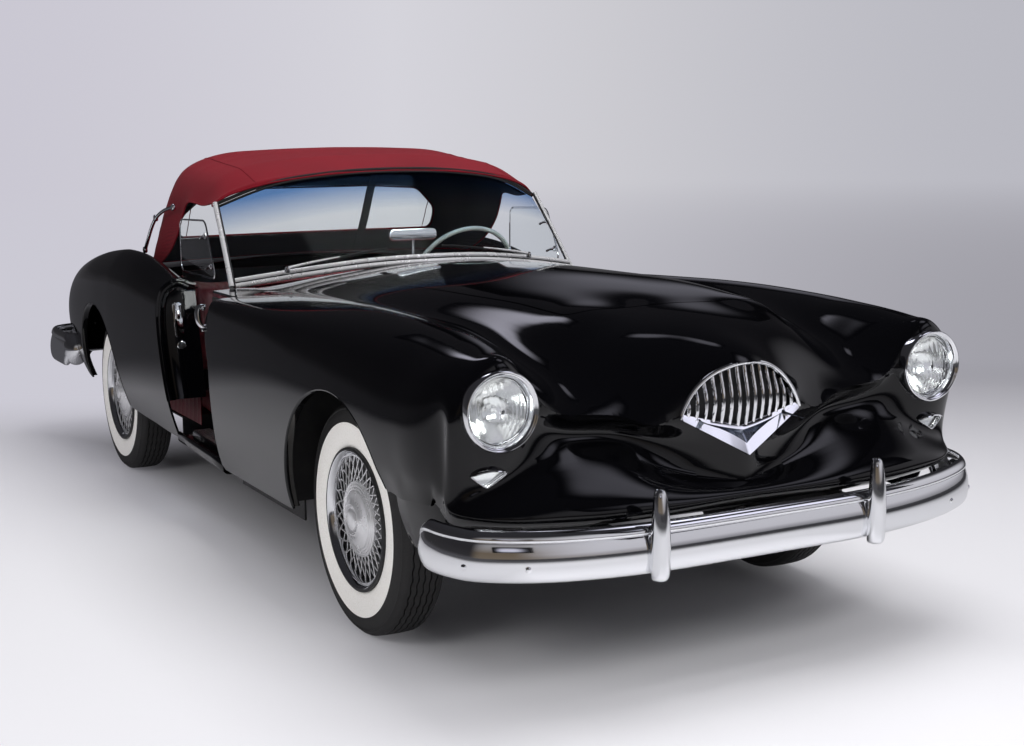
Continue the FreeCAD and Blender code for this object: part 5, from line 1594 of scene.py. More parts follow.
# Faces down in the hollow get the darker, bluer finish: painted shade.
for face in plate.data.polygons:
    column = face.index % (len(rows[0]) - 1)
    y = face.center.y
    face.material_index = 1 if 3 <= column <= 6 and abs(y) < 0.133 else 0
plate.data.materials.append(chrome)
plate.data.materials.append(hollow_shade_finish)
thicken(plate, 0.0020)
bars = []
for k in range(BARS):
    y = 0.0252 * (k - (BARS - 1) / 2)
    front = read_off(PLATE_X, abs(y)) - 0.034 + 0.026 * abs(y) / 0.191
    low, high = plate_top(y) - 0.004, grille_top(y) - 0.003
    line = []
    for step in range(7):
        t = step / 6
        bulge = 0.010 * math.sin(math.pi * min(1.0, t * 1.25)) - 0.020 * max(0.0, t - 0.45) ** 1.2
        line.append(Vector((min(front + bulge - 0.004, read_off(FRAME_X, abs(y)) - 0.002),
                            y * (1 - 0.02 * t), low + (high - low) * t)))
    bars.append(rod("grille_bar", line, 0.0056, 4))
for bar in bars:
    painted(bar, chrome)
    for vertex in bar.data.vertices:
        vertex.co.z = min(vertex.co.z, grille_top(vertex.co.y) - 0.001)
painted(hoop, chrome)
# A black sheet across the whole opening behind the bars: painted shade in place of the dark space behind the
# grille.
rows = []
for k in range(-16, 17):
    y = 0.189 * k / 16
    depth = read_off(FRAME_X, abs(y)) - 0.036
    rows.append([Vector((depth, y, grille_foot(y) + 0.002 + (grille_top(y) - grille_foot(y) - 0.003) * t))
                 for t in (0.0, 0.25, 0.5, 0.75, 1.0)])
shade_sheet = thicken(face_away(lofted("grille_shade_sheet", rows), Vector((1.9, 0, 0.7))), 0.0015)
painted(shade_sheet, black_satin)
grille = joined("grille_fan", plate, hoop, shade_sheet, *bars)
settle(grille, "car_body", "chrome", None, "grille", angle=30)


# ---- Lamps ------------------------------------------------------------------------------
# Sealed beams with moulded flutes in bevelled rings, fan-shaped parking lamps under a bright
# brow, and round red tail lamps in bright cups.

LAMP_RING = [(0.0930, -0.1080), (0.0960, -0.0600), (0.1000, -0.0350), (0.1008, -0.0200),
             (0.1009, -0.0110), (0.1000, -0.0045), (0.0982, -0.0012), (0.0960, 0.0), (0.0942, -0.0006),
             (0.0930, -0.0022), (0.0922, -0.0030), (0.0905, -0.0035), (0.0880, -0.0062),
             (0.0852, -0.0110), (0.0838, -0.0150), (0.0832, -0.0185), (0.0836, -0.0300),
             (0.0836, -0.0420), (0.0780, -0.0450)]
BEAM_RADIUS = 0.0815
BROW_SECTION = [(-0.004, 0.0, -0.0005), (0.0, 0.60, 0.0012), (0.0, 0.95, 0.0012), (0.0, 1.0, -0.0008),
                (0.0, 0.92, -0.0022), (0.0, 0.60, -0.0016),
                (-0.004, 0.0, -0.0030)]   # x, share of the reach, z
lamp_glass, tree, shader = finish_called("lamp_glass", Base_Color=(0.97, 0.99, 0.99, 1), Roughness=0.03,
                                         Transmission_Weight=1.0, IOR=1.46)
overlaid(tree, shader, rubbed, 0.0002, 0.3, Scale=60.0, Clear=0.01, Hazy=0.05, Ripple_Scale=140.0)
mirror_finish, tree, shader = finish_called("reflector", Base_Color=(0.93, 0.93, 0.92, 1),
                                            Metallic=1.0, Roughness=0.12)
overlaid(tree, shader, rubbed, 0.0002, 0.4, Scale=40.0, Clear=0.08, Hazy=0.22, Ripple_Scale=300.0)


def fluted(y, z):
    """How far the moulded pattern stands out of a beam's glass, in metres."""
    r = math.hypot(y, z)
    fade = max(0.0, min(1.0, (BEAM_RADIUS * 0.93 - r) / 0.006))
    if abs(z) < 0.017:
        wave = 0.9 * math.cos(2 * math.pi * y / 0.0120) + (0.6 if abs(z) > 0.015 else 0)
    elif z > 0:
        wave = 0.8 * math.cos(2 * math.pi * (y + 0.16 * z) / 0.0185)
    else:
        wave = 0.8 * math.cos(2 * math.pi * y / 0.0150) * math.cos(2 * math.pi * z / 0.030)
    return 0.0008 * wave * fade


dome = [(BEAM_RADIUS, -0.0300), (BEAM_RADIUS, -0.0215)]
dome += [(BEAM_RADIUS * math.cos(math.radians(a)), -0.0215 + 0.0185 * math.sin(math.radians(a)) ** 0.9)
         for a in range(6, 90, 3)]
dome += [(0.0, -0.0030)]
dome += [(BEAM_RADIUS * (k / 12), -0.0075 - 0.0190 * (k / 12) ** 2.4) for k in range(1, 12)]
dome += [(BEAM_RADIUS - 0.003, -0.0300), (BEAM_RADIUS, -0.0300)]
bowl = [(0.0800, -0.0300)] + [(0.0120 + 0.068 * (k / 12), -0.0960 + 0.066 * (k / 12) ** 2)
                              for k in range(11, -1, -1)] + [(0.0, -0.0965)]
lamp_parts = []
for side in (1, -1):
    centre = Vector((2.1498, side * LAMP_Y, LAMP_Z))
    ring = turned("headlamp_ring", LAMP_RING, centre, (1, 0, 0), 128)
    beam = turned("headlamp_glass", dome, centre, (1, 0, 0), 128)
    for vertex in beam.data.vertices:
        if vertex.co.x > centre.x - 0.0213:
            vertex.co.x += fluted(vertex.co.y - centre.y, vertex.co.z - centre.z)
    reflector = turned("headlamp_bowl", bowl, centre, (1, 0, 0), 64)
    cap = turned("headlamp_shield", [(0.0, -0.060), (0.008, -0.061), (0.012, -0.066), (0.012, -0.085),
                                     (0.0, -0.086)], centre, (1, 0, 0), 32)
    seat = turned("headlamp_gasket", [(0.0832, -0.034), (0.0812, -0.0325), (0.0812, -0.031),
                                      (0.0845, -0.031), (0.0845, -0.036), (0.0832, -0.034)],
                  centre, (1, 0, 0), 96)
    for part, finish in ((ring, chrome), (beam, lamp_glass), (reflector, mirror_finish),
                         (cap, mirror_finish), (seat, rubber)):
        painted(part, finish)
    lamp_parts += [ring, beam, reflector, cap, seat]
headlamps = joined("headlamp_pair", *lamp_parts)
settle(headlamps, "car_body", "lamp", None, "headlamps", angle=42)

lamp_parts = []
for side in (1, -1):
    place = [Vector((2.1225 - max(0.0, y - 0.690) * 0.165, side * y, z)) for y, z in LENS_OUTLINE]
    if side < 0:
        place.reverse()
    lens = block_from("parking_lens", [p - Vector((0.022, 0, 0)) for p in place], (0.022, 0, 0))
    for vertex in lens.data.vertices:
        if vertex.co.x > 2.105:
            vertex.co.x += 0.001
    rounded(lens, 0.0035, 3, 40)
    rim = rod("parking_rim", [p + Vector((0.0015, 0, 0)) for p in place + place[:2]], 0.0017, 3)
    back = block_from("parking_back", [p - Vector((0.0235, 0, 0)) for p in place], (0.001, 0, 0))
    brow = []
    for k in range(17):
        t = k / 16
        y = 0.6595 + 0.0915 * t
        z = 0.6005 + 0.0098 * (1 - (2 * t - 1) ** 2)
        x = 2.1205 - max(0.0, y - 0.690) * 0.165
        out = 0.010 + 0.010 * (1 - (2 * t - 1) ** 4)
        brow.append([Vector((x + start_x + out * share, side * y, z + rise))
                     for start_x, share, rise in BROW_SECTION])
    brow = outward(thicken(face_away(lofted("parking_brow", brow), Vector((2.10, side * 0.706, 0.603))),
                           0.0008))
    for part, finish in ((lens, lamp_glass), (rim, chrome), (back, mirror_finish), (brow, chrome)):
        painted(part, finish)
    lamp_parts += [lens, rim, back, brow]
parking = joined("parking_lamp_pair", *lamp_parts)
settle(parking, "car_body", "lamp", None, "parking_lamps", angle=40)

red_lens, tree, shader = finish_called("red_lens", Base_Color=(0.55, 0.010, 0.012, 1), Roughness=0.06,
                                       Coat_Weight=1.0)
overlaid(tree, shader, rubbed, 0.0004, 0.6, Scale=90.0, Clear=0.05, Hazy=0.12, Ripple_Scale=320.0)
lamp_parts = []
for side in (1, -1):
    centre = Vector((-2.1770, side * 0.630, 0.640))
    cup = turned("tail_cup", [(0.0335, 0.0), (0.0338, 0.010), (0.0330, 0.024), (0.0312, 0.030),
                              (0.0290, 0.0315), (0.0275, 0.030), (0.0270, 0.024), (0.0, 0.022)],
                 centre, (-1, 0, 0), 64)
    eye = turned("tail_lens", [(0.0272, 0.022), (0.0272, 0.031), (0.0262, 0.038), (0.0235, 0.046),
                               (0.0185, 0.053), (0.0110, 0.0580), (0.0, 0.0597)],
                 centre, (-1, 0, 0), 64)
    painted(cup, chrome)
    painted(eye, red_lens)
    lamp_parts += [cup, eye]
tails = joined("tail_lamp_pair", *lamp_parts)
settle(tails, "car_body", "red_lamp", None, "tail_lamps", angle=40)


# ---- Windshield -------------------------------------------------------------------------
# One curved pane with a tinted band at its top, held by a double bright moulding along its
# foot, a header bar and two posts. The wipers are black blades on bright arms.

SCREEN = [((340, 0, 962), (50, 0, 1262)), ((318, 230, 955), (38, 230, 1254)),
          ((265, 455, 930), (6, 460, 1222)), ((175, 672, 896), (-62, 645, 1150))]


def screen_line(which, push, lift, steps=6):
    """One edge of the pane from side to side, moved ahead and up; in metres."""
    half = [Vector((row[which][0] + push, row[which][1], row[which][2] + lift)) for row in SCREEN]
    return [p * 0.001 for p in smooth_line(both_sides(half), steps)]


foot_line, head_line = screen_line(0, 0, 0), screen_line(1, 0, 0)
rows = []
for low, high in zip(foot_line, head_line):
    rows.append([low.lerp(high, t / 10) + Vector((0.006, 0, 0.004)) * math.sin(math.pi * t / 10)
                 for t in range(11)])
pane = face_away(smooth_skin(lofted("windshield_pane", rows), 1, rounds=2), Vector((-0.3, 0, 1.05)))
thicken(pane, 0.0045)

clear_glass, tree, shader = finish_called("screen_glass", Roughness=0.0, Transmission_Weight=1.0, IOR=1.10)
where = shader_node(tree, "TexCoord")
split = shader_node(tree, "SeparateXYZ")
wire_up(tree, (where, "Object", split, "Vector"))
across = combined(tree, "POWER", split.outputs["Y"], 2.0)
drop = combined(tree, "MULTIPLY_ADD", across.outputs["Value"], 0.19, split.outputs["Z"])
height = shader_node(tree, "MapRange", From_Min=0.95, From_Max=1.27)
wire_up(tree, (drop, "Value", height, "Value"))
tint = banded(tree, height.outputs["Result"], [(0.58, (0.95, 0.985, 0.985)), (0.90, (0.16, 0.32, 0.62))])
tree.links.new(tint, shader.inputs["Base Color"])
smear = shader_node(tree, "TexNoise", Scale=2.5)
wire_up(tree, (where, "Object", smear, "Vector"))
film = shader_node(tree, "MapRange", From_Min=0.45, To_Max=0.012)
wire_up(tree, (smear, "Fac", film, "Value"), (film, "Result", shader, "Roughness"))
settle(pane, "car_body", "glass", clear_glass, "windshield_glass", angle=50)

moulding = []
upper_band = rod("screen_moulding", [p + Vector((0.0030, 0, 0.0105)) for p in foot_line], 0.0082, 4)
lower_band = rod("screen_moulding_low", [p + Vector((0.0105, 0, -0.0070)) for p in foot_line], 0.0088, 4)
header = rod("screen_header", [p + Vector((-0.007, 0, 0.0135)) for p in head_line], 0.0062, 5)
moulding += [painted(upper_band, satin_plate), painted(lower_band, satin_plate),
             painted(header, black_satin)]
seal = rod("screen_seal", [p + Vector((0.0060, 0, 0.0020)) for p in foot_line], 0.0055, 3)
seal_top = rod("screen_seal_top", [p + Vector((0.001, 0, 0.0030)) for p in head_line], 0.0040, 3)
moulding += [painted(seal, rubber), painted(seal_top, rubber)]
for end in (0, -1):
    side = 1 if end == -1 else -1
    low, high = foot_line[end], head_line[end]
    line = [low.lerp(high, t / 8) + Vector((0.004 * math.sin(math.pi * t / 8), side * 0.0125,
                                            -0.012 + 0.026 * t / 8)) for t in range(9)]
    post = rod("screen_post", line, 0.0088, 5, weights=[1.15] + [1.0] * 7 + [1.05])
    seal = rod("screen_post_seal", [p + Vector((0.003, -side * 0.0090, 0)) for p in line], 0.0045, 3)
    moulding += [painted(post, satin_plate), painted(seal, rubber)]
    moulding.append(painted(bolt_head("screen_bolt", foot_line[end] + Vector((0.006, side * 0.004, -0.020)),
                                      (0.8, side * 0.5, 0.35), 0.0042, 0.0035), chrome))
frame_piece = joined("windshield_surround", *moulding)
settle(frame_piece, "car_body", "chrome", None, "windshield_frame", angle=40)

blade_parts = []
for pivot_y, tip_y in ((-520, -150), (420, 60)):
    pivot = Vector((0.356 - 0.12 * (abs(pivot_y) / 672) ** 2, pivot_y * 0.001,
                    0.9630 - 0.042 * (abs(pivot_y) / 672) ** 2))
    spots = []
    for k in range(13):
        t = k / 12
        y = (pivot_y + (tip_y - pivot_y) * (0.04 + 0.96 * t)) * 0.001
        base = None
        for a, b, c, d in zip(foot_line, foot_line[1:], head_line, head_line[1:]):
            if a.y <= y <= b.y or b.y <= y <= a.y:
                s = (y - a.y) / (b.y - a.y)
                base = a.lerp(b, s).lerp(c.lerp(d, s), 0.045 + 0.085 * t)
        spots.append(base + Vector((0.0095, 0, 0.0045)))
    rubber_strip = rod("wiper_rubber", spots, 0.0036, 3)
    spine = rod("wiper_spine", [p + Vector((0.0035, 0, 0.0025)) for p in spots[1:-1]], 0.0028, 3)
    arm_end = spots[6] + Vector((0.0075, 0, 0.0045))
    arm = rod("wiper_arm", [pivot + Vector((0.004, 0, 0.012)),
                            pivot.lerp(arm_end, 0.25) + Vector((0.006, 0, 0.012)),
                            pivot.lerp(arm_end, 0.7) + Vector((0.004, 0, 0.006)), arm_end], 0.0034, 3,
              weights=[1.6, 1.3, 0.9, 0.7])
    hub = turned("wiper_hub", [(0.0105, 0.0), (0.0105, 0.004), (0.0085, 0.009), (0.0075, 0.016),
                               (0.0055, 0.0185), (0.0, 0.019)],
                 pivot, (0.35, 0, 0.94), 24)
    for part, finish in ((rubber_strip, rubber), (spine, black_satin), (arm, satin_plate), (hub, chrome)):
        blade_parts.append(painted(part, finish))
wipers = joined("wiper_pair", *blade_parts)
settle(wipers, "car_body", "chassis", None, "wipers", angle=40)

# Wind wings: small panes in bright rims, pivoted beside the posts.
wing_glass, tree, shader = finish_called("wing_glass", Base_Color=(0.96, 0.98, 0.98, 1),
                                         Roughness=0.0, Transmission_Weight=1.0, IOR=1.06)
wing_parts = []
for side in (1, -1):
    corner_line = round_corners([(-0.3500, 1.0950), (-0.3550, 0.9030), (0.0550, 0.9030), (-0.0430, 1.1050)],
                                0.034, 6)
    edge = [Vector((x, side * 0.7025, z)) for x, z in corner_line]
    pane = block_from("wing_pane", [p - Vector((0, 0.0012, 0)) for p in edge], (0, 0.0024, 0))
    rim = rod("wing_rim", edge + edge[:2], 0.0036, 3)
    for vertex in rim.data.vertices:
        vertex.co.y = side * 0.7025 + max(-0.0024, min(0.0024, vertex.co.y - side * 0.7025))
    wing_parts += [painted(pane, wing_glass), painted(rim, chrome)]
    for x, z in ((0.010, 0.945), (-0.045, 1.050)):
        line = [(x, side * 0.7048, z), (x - 0.020, side * 0.7048, z - 0.002),
                (x - 0.040, side * 0.7045, z - 0.006), (x - 0.058, side * 0.7040, z - 0.012)]
        clamp = rod("wing_clamp", line, 0.0046, 3, weights=[1.5, 1.2, 0.9, 1.2])
        boss = turned("wing_boss", [(0.0115, 0.0), (0.0115, 0.0022), (0.0060, 0.0040), (0.0, 0.0042)],
                      Vector((x, side * 0.7040, z)), (0, side, 0), 24)
        wing_parts += [painted(clamp, chrome), painted(boss, chrome)]
wings = joined("wind_wing_pair", *wing_parts)
settle(wings, "car_body", "glass", None, "wind_wings", angle=40)

# Mirror: a shallow rounded case on a slender stem, its silvered face toward the seats.
stem = rod("mirror_stem", [(0.196, 0, 0.9385), (0.196, 0, 0.975), (0.197, 0, 1.010), (0.1985, 0, 1.036)],
           0.0052, 4, weights=[1.1, 0.9, 0.8, 0.8])
foot = turned("mirror_foot", [(0.0058, 0.0), (0.0058, 0.004), (0.0052, 0.010)], (0.196, 0, 0.938),
              (0, 0, 1), 32)
outline = round_corners([(-0.094, 1.0190), (0.094, 1.0190), (0.094, 1.0610), (-0.094, 1.0610)], 0.019, 7)
case = block_from("mirror_case", [Vector((0.1895, y, z)) for y, z in outline], (0.0145, 0, 0))
rounded(case, 0.005, 4, 60)
face = block_from("mirror_face", [Vector((0.1883, y * 0.965, 1.040 + (z - 1.040) * 0.90))
                                  for y, z in outline], (0.0012, 0, 0))
mirror = joined("mirror_piece", painted(stem, chrome), painted(foot, chrome), painted(case, chrome),
                painted(face, mirror_finish))
settle(mirror, "car_body", "glass", None, "mirror", angle=40)


# ---- Soft top ---------------------------------------------------------------------------
# One stretched cloth from the header to the body behind the seats, over two bows, bound at
# its edges, with a clear window sewn into the back and bright irons outside.

TOP = [
    [(28, 0, 1285), (16, 250, 1274), (-20, 470, 1249), (-64, 600, 1206), (-92, 655, 1164)],
    [(-190, 0, 1326), (-192, 250, 1318), (-196, 470, 1292), (-200, 600, 1243), (-205, 658, 1152)],
    [(-420, 0, 1345), (-420, 250, 1338), (-420, 470, 1312), (-412, 605, 1262), (-345, 669, 1158)],
    [(-620, 0, 1340), (-620, 250, 1336), (-616, 470, 1322), (-585, 625, 1252), (-395, 678, 1104)],
    [(-745, 0, 1215), (-743, 250, 1210), (-735, 470, 1195), (-690, 650, 1140), (-445, 683, 1040)],
    [(-845, 0, 1045), (-842, 250, 1041), (-832, 470, 1030), (-795, 658, 1008), (-545, 686, 965)],
    [(-935, 0, 905), (-930, 250, 902), (-914, 470, 898), (-872, 664, 893), (-705, 688, 898)],
]
HEADER_LAP = [(50, 0, 1270), (38, 250, 1261), (2, 470, 1233), (-50, 606, 1193), (-84, 662, 1152)]
INSIDE_TOP = Vector((-0.35, 0, 1.0))
STRAP_Y = 0.240
IRON_LINE = [(-0.436, 0.7000, 1.136), (-0.500, 0.7015, 1.130), (-0.600, 0.7020, 1.110),
             (-0.676, 0.7020, 1.085), (-0.735, 0.7020, 1.050), (-0.790, 0.7030, 1.000),
             (-0.842, 0.7040, 0.950)]
WINDOW_HALF = [(0.562, 0.996), (0.562, 1.080), (0.462, 1.170), (0.240, 1.184)]
PANE = [(0.0, -0.861, -0.739, 0.990, 1.191), (0.250, -0.859, -0.737, 0.990, 1.189),
        (0.470, -0.838, -0.726, 0.990, 1.179),
        (0.575, -0.809, -0.739, 0.990, 1.090)]     # y, then x and z at foot and head

woven, into, out = effect("top_weave", [("Scale", 900.0), ("Thread", (0.42, 0.012, 0.024, 1.0)),
                                        ("Gap", (0.16, 0.004, 0.009, 1.0))],
                          ["Color", "Height", "Roughness"])
where = shader_node(woven, "TexCoord")
bands = []
for direction in ("X", "Y"):
    wave = shader_node(woven, "TexWave")
    wave.wave_type = "BANDS"
    wave.bands_direction = direction
    wave.wave_profile = "SIN"
    wave.inputs["Distortion"].default_value = 0.4
    wire_up(woven, (where, "Object", wave, "Vector"), (into, "Scale", wave, "Scale"))
    bands.append(wave)
highest = combined(woven, "MULTIPLY", bands[0].outputs["Fac"], bands[1].outputs["Fac"])
fade = shader_node(woven, "TexNoise", Scale=4.0, Detail=5.0)
wire_up(woven, (where, "Object", fade, "Vector"))
pair = combined(woven, "MULTIPLY_ADD", fade.outputs["Fac"], 0.6, highest.outputs["Value"])
dyed = shader_node(woven, "Mix")
dyed.data_type = "RGBA"
wire_up(woven, (pair, "Value", dyed, "Factor"), (into, "Gap", dyed, "A"), (into, "Thread", dyed, "B"),
               (dyed, "Result", out, "Color"), (highest, "Value", out, "Height"))
matt = shader_node(woven, "MapRange", To_Min=0.78, To_Max=0.95)
wire_up(woven, (fade, "Fac", matt, "Value"), (matt, "Result", out, "Roughness"))


def cloth(name, thread, gap, scale, sheen):
    made, tree, shader = finish_called(name, Sheen_Weight=sheen, Sheen_Roughness=0.5,
                                       Specular_IOR_Level=0.25)
    overlaid(tree, shader, woven, 0.0002, 0.5, Scale=scale, Thread=(*thread, 1), Gap=(*gap, 1))
    return made


red_cloth = cloth("red_cloth", (0.185, 0.0028, 0.0105), (0.088, 0.0015, 0.0052), 420.0, 0.02)
grey_lining = cloth("grey_lining", (0.055, 0.053, 0.055), (0.022, 0.021, 0.022), 500.0, 0.10)

fine_rows = []
columns = [smooth_line([Vector(row[k]) for row in TOP], 6) for k in range(5)]
for i in range(len(columns[0])):
    half = smooth_line([column[i] for column in columns], 4)
    fine_rows.append([p * 0.001 for p in both_sides(half)])
lap = smooth_line([Vector(p) for p in HEADER_LAP], 4)
lap = [p * 0.001 for p in both_sides(lap)]
halfway = [a.lerp(b, 0.5) + Vector((0.004, 0, 0.004)) for a, b in zip(lap, fine_rows[0])]
fine_rows = [lap, halfway] + fine_rows
length = sum((b[len(b) // 2] - a[len(a) // 2]).length for a, b in zip(fine_rows, fine_rows[1:]))
for row in fine_rows:
    for k, p in enumerate(row):
        for bow in (-0.190, -0.420):
            p.z += 0.0022 * math.exp(-((p.x - bow) / 0.022) ** 2) * (1 if 1.20 < p.z else 0)
        sag = math.sin(math.pi * min(1.0, max(0.0, (p.x + 0.420) / 0.230))) if -0.420 < p.x < -0.190 else 0.0
        p.z -= 0.0030 * sag * max(0.0, 1 - (p.y / 0.60) ** 2)
        if p.x < -0.64 and abs(p.y) > 0.42:
            p.x += 0.0022 * math.sin(p.z * 95 + abs(p.y) * 30)
cover = face_away(smooth_skin(lofted("top_cloth", fine_rows), 1, rounds=1), INSIDE_TOP)
thicken(cover, 0.0030)
cover.data.materials.append(red_cloth)
cover.data.materials.append(grey_lining)
opening = WINDOW_HALF + [(-y, z) for y, z in reversed(WINDOW_HALF)]
outline = round_corners(opening, 0.030, 5)
cut(cover, block_from("window_tool", [Vector((-1.0, y, z)) for y, z in outline], (0.42, 0, 0)))
for face in cover.data.polygons:
    inner = face.normal.dot(face.center - INSIDE_TOP) < 0
    face.material_index = 1 if inner else 0
settle(cover, "car_body", "canvas", None, "soft_top", angle=55)


def pane_edge(y):
    """The foot and the head of the back pane at a distance from the middle."""
    for (a, *low), (b, *high) in zip(PANE, PANE[1:]):
        if abs(y) <= b:
            foot_x, head_x, foot_z, head_z = [u + (v - u) * (abs(y) - a) / (b - a)
                                              for u, v in zip(low, high)]
            return Vector((foot_x, y, foot_z)), Vector((head_x, y, head_z))


window_at = []
for k in range(-24, 25):
    foot, head = pane_edge(0.574 * k / 24)
    window_at.append([foot.lerp(head, t) + Vector((0.0015, 0, 0.0005)) for t in (0.0, 0.25, 0.5, 0.75, 1.0)])
back_pane = face_away(lofted("back_pane", window_at), INSIDE_TOP)
thicken(back_pane, 0.0018)
soft_clear, tree, shader = finish_called("clear_vinyl", Base_Color=(0.90, 0.93, 0.90, 1),
                                         Roughness=0.06, Transmission_Weight=1.0, IOR=1.12)
overlaid(tree, shader, rubbed, 0.002, 0.5, Scale=5.0, Clear=0.02, Hazy=0.10, Ripple_Scale=18.0)
settle(back_pane, "car_body", "glass", soft_clear, "rear_window", angle=40)


def on_top(row, share, lift=0.0):
    """A point of the finished cloth: share runs from one edge to the other."""
    line = fine_rows[row]
    spot = share * (len(line) - 1)
    k = min(int(spot), len(line) - 2)
    p = line[k].lerp(line[k + 1], spot - k)
    away = (p - INSIDE_TOP).normalized()
    return p + away * lift


last_row = len(fine_rows) - 1
binding = []
hem = [on_top(0, k / 40, 0.0) for k in range(41)]
hem += [on_top(i, 1.0, 0.0) for i in range(1, last_row)] + [on_top(last_row, 1 - k / 40,
                                                                   0.0) for k in range(41)]
hem += [on_top(last_row - i, 0.0, 0.0) for i in range(1, last_row)] + [on_top(0, 0.0), on_top(0, 1 / 40)]
binding.append(rod("top_binding", hem, 0.0034, 3, ends=False))
for share in (0.215, 0.785):
    binding.append(rod("top_seam", [on_top(i, share, 0.0006) for i in range(last_row + 1)], 0.0018, 2))
finder = finder_for(cover.data)
edge = []
for (y, z), (y_next, z_next) in zip(outline, outline[1:] + outline[:1]):
    for t in (0.0, 0.5):
        spot = Vector((-1.2, (y + (y_next - y) * t) * 1.012, 1.088 + (z + (z_next - z) * t - 1.088) * 1.03))
        met = finder.ray_cast(spot, Vector((1, 0, 0)))[0]
        if met is not None and (not edge or (met - edge[-1]).length > 0.004):
            edge.append(met)
binding.append(rod("window_binding", edge + edge[:2], 0.0045, 3, ends=False))
trim_binding = joined("top_binding", *binding)
settle(trim_binding, "car_body", "canvas", red_cloth, angle=50)

irons = []
for side in (1, -1):
    line = [Vector((x, side * y, z)) for x, y, z in IRON_LINE]
    irons.append(rod("top_iron", line, 0.0070, 4))
    for at in (line[0], line[3], line[-1]):
        irons.append(turned("iron_knuckle", [(0.0, -0.0075), (0.0115, -0.0070), (0.0130, -0.0045),
                                             (0.0130, 0.0045), (0.0115, 0.0070), (0.0, 0.0075)],
                            at, (0, 1, 0), 32))
for part in irons:
    painted(part, chrome)
bows = []
for x in (-190, -420):
    row = [r for r in TOP if abs(r[0][0] - x) < 5][0]
    half = smooth_line([Vector((px, py * 0.965, pz - 19)) for px, py, pz in row[:4]], 5)
    bow = rod("top_bow", [p * 0.001 for p in both_sides(half)], 0.0065, 3)
    bows.append(painted(bow, black_satin))
strap = []
for row in fine_rows[4:]:
    p = min(row, key=lambda q: abs(q.y - STRAP_Y))
    inward = (Vector((INSIDE_TOP.x, STRAP_Y, INSIDE_TOP.z)) - p).normalized() * 0.030
    strap.append([Vector((p.x, STRAP_Y + w, p.z)) + inward for w in (-0.018, 0.018)])
strap = thicken(face_away(lofted("top_strap", strap), INSIDE_TOP), 0.0020)
bows.append(painted(strap, grey_lining))
irons = joined("top_irons", *irons, *bows)
settle(irons, "car_body", "chrome", None, "top_frame", angle=40)


# ---- Seats ------------------------------------------------------------------------------
# Two stuffed seats in oxblood hide: each cushion and back is a cover pulled over padding and
# sewn into upright channels, with a welt round the edge.

SEAT_MIDDLE = 0.315
CUSHION_SHAPE = [(-0.136, 0.336), (-0.130, 0.400), (-0.150, 0.425), (-0.205, 0.441), (-0.330, 0.432),
                 (-0.480, 0.416), (-0.600, 0.404), (-0.634, 0.392), (-0.638, 0.330), (-0.500, 0.326),
                 (-0.300, 0.330)]
BACK_SHAPE = [(-0.606, 0.458), (-0.628, 0.560), (-0.655, 0.690), (-0.684, 0.810), (-0.698, 0.834),
              (-0.730, 0.846), (-0.766, 0.832), (-0.768, 0.800), (-0.742, 0.640), (-0.705, 0.460),
              (-0.660, 0.446)]
oxblood_seat = hide("oxblood_hide", (0.15, 0.008, 0.013), (0.05, 0.003, 0.006), 380.0, 0.0003)


def seat_block(name, shape, half, shrink):
    """A closed form: the side profile carried across and pulled in at its corners."""
    middle = sum((Vector((x, 0, z)) for x, z in shape), Vector()) / len(shape)
    rows = []
    for y, size in ((-1.0, 0.80), (-0.985, 0.92), (-0.94, 0.985), (-0.84, 1.0), (-0.5, 1.0),
                    (-0.17, 1.0), (0.17, 1.0), (0.5, 1.0), (0.84, 1.0), (0.94, 0.985), (0.985, 0.92),
                    (1.0, 0.80)):
        ring = [middle + (Vector((x, 0, z)) - middle) * size * shrink + Vector((0, y * half, 0))
                for x, z in shape]
        rows.append(ring)
    return closed_stack(name, rows)


def stuffed(piece, cap, pressure=4.0):
    """Blows a remeshed copy of the form up like filled padding, each point moved by no more than the cap."""
    grid = piece.modifiers.new("fine", "REMESH")
    grid.mode = "VOXEL"
    grid.voxel_size = 0.0090
    apply_all(piece)
    start_points = [vertex.co.copy() for vertex in piece.data.vertices]
    fill = piece.modifiers.new("filling", "CLOTH")
    fill.settings.use_pressure = True
    fill.settings.uniform_pressure_force = pressure
    fill.settings.tension_stiffness = 25
    fill.settings.shear_stiffness = 15
    fill.settings.effector_weights.gravity = 0.0
    fill.point_cache.frame_start = 1
    fill.point_cache.frame_end = 20
    for frame_number in range(1, 21):
        scene.frame_set(frame_number)
    apply_all(piece)
    scene.frame_set(1)
    for vertex, before in zip(piece.data.vertices, start_points):
        moved = vertex.co - before
        if moved.length > cap:
            vertex.co = before + moved.normalized() * cap
    round_off = piece.modifiers.new("round_off", "SMOOTH")
    round_off.factor = 0.5
    round_off.iterations = 4
    fine = piece.modifiers.new("fine", "SUBSURF")
    fine.levels = fine.render_levels = 1
    return apply_all(piece)


def channelled(piece, centre_y, half, pitch, facing, depth=0.006):
    """Presses straight sewn channels into the faces of a pad that look one way."""
    normals = [vertex.normal.copy() for vertex in piece.data.vertices]
    for vertex, normal in zip(piece.data.vertices, normals):
        across = vertex.co.y - centre_y
        inside = max(0.0, min(1.0, (half * 0.80 - abs(across)) / 0.012))
        turned_up = max(0.0, min(1.0, (normal.dot(facing) - 0.35) / 0.3))
        seam = abs((across / pitch + 0.5) % 1.0 - 0.5) * pitch
        vertex.co -= normal * depth * inside * turned_up * (1 - min(1.0, seam / (pitch * 0.30))) ** 1.5
    return piece


def held_in(piece, low, high):
    """Keeps a pad inside the space that its frame allows it."""
    for vertex in piece.data.vertices:
        for axis in range(3):
            vertex.co[axis] = max(low[axis], min(high[axis], vertex.co[axis]))
    return piece


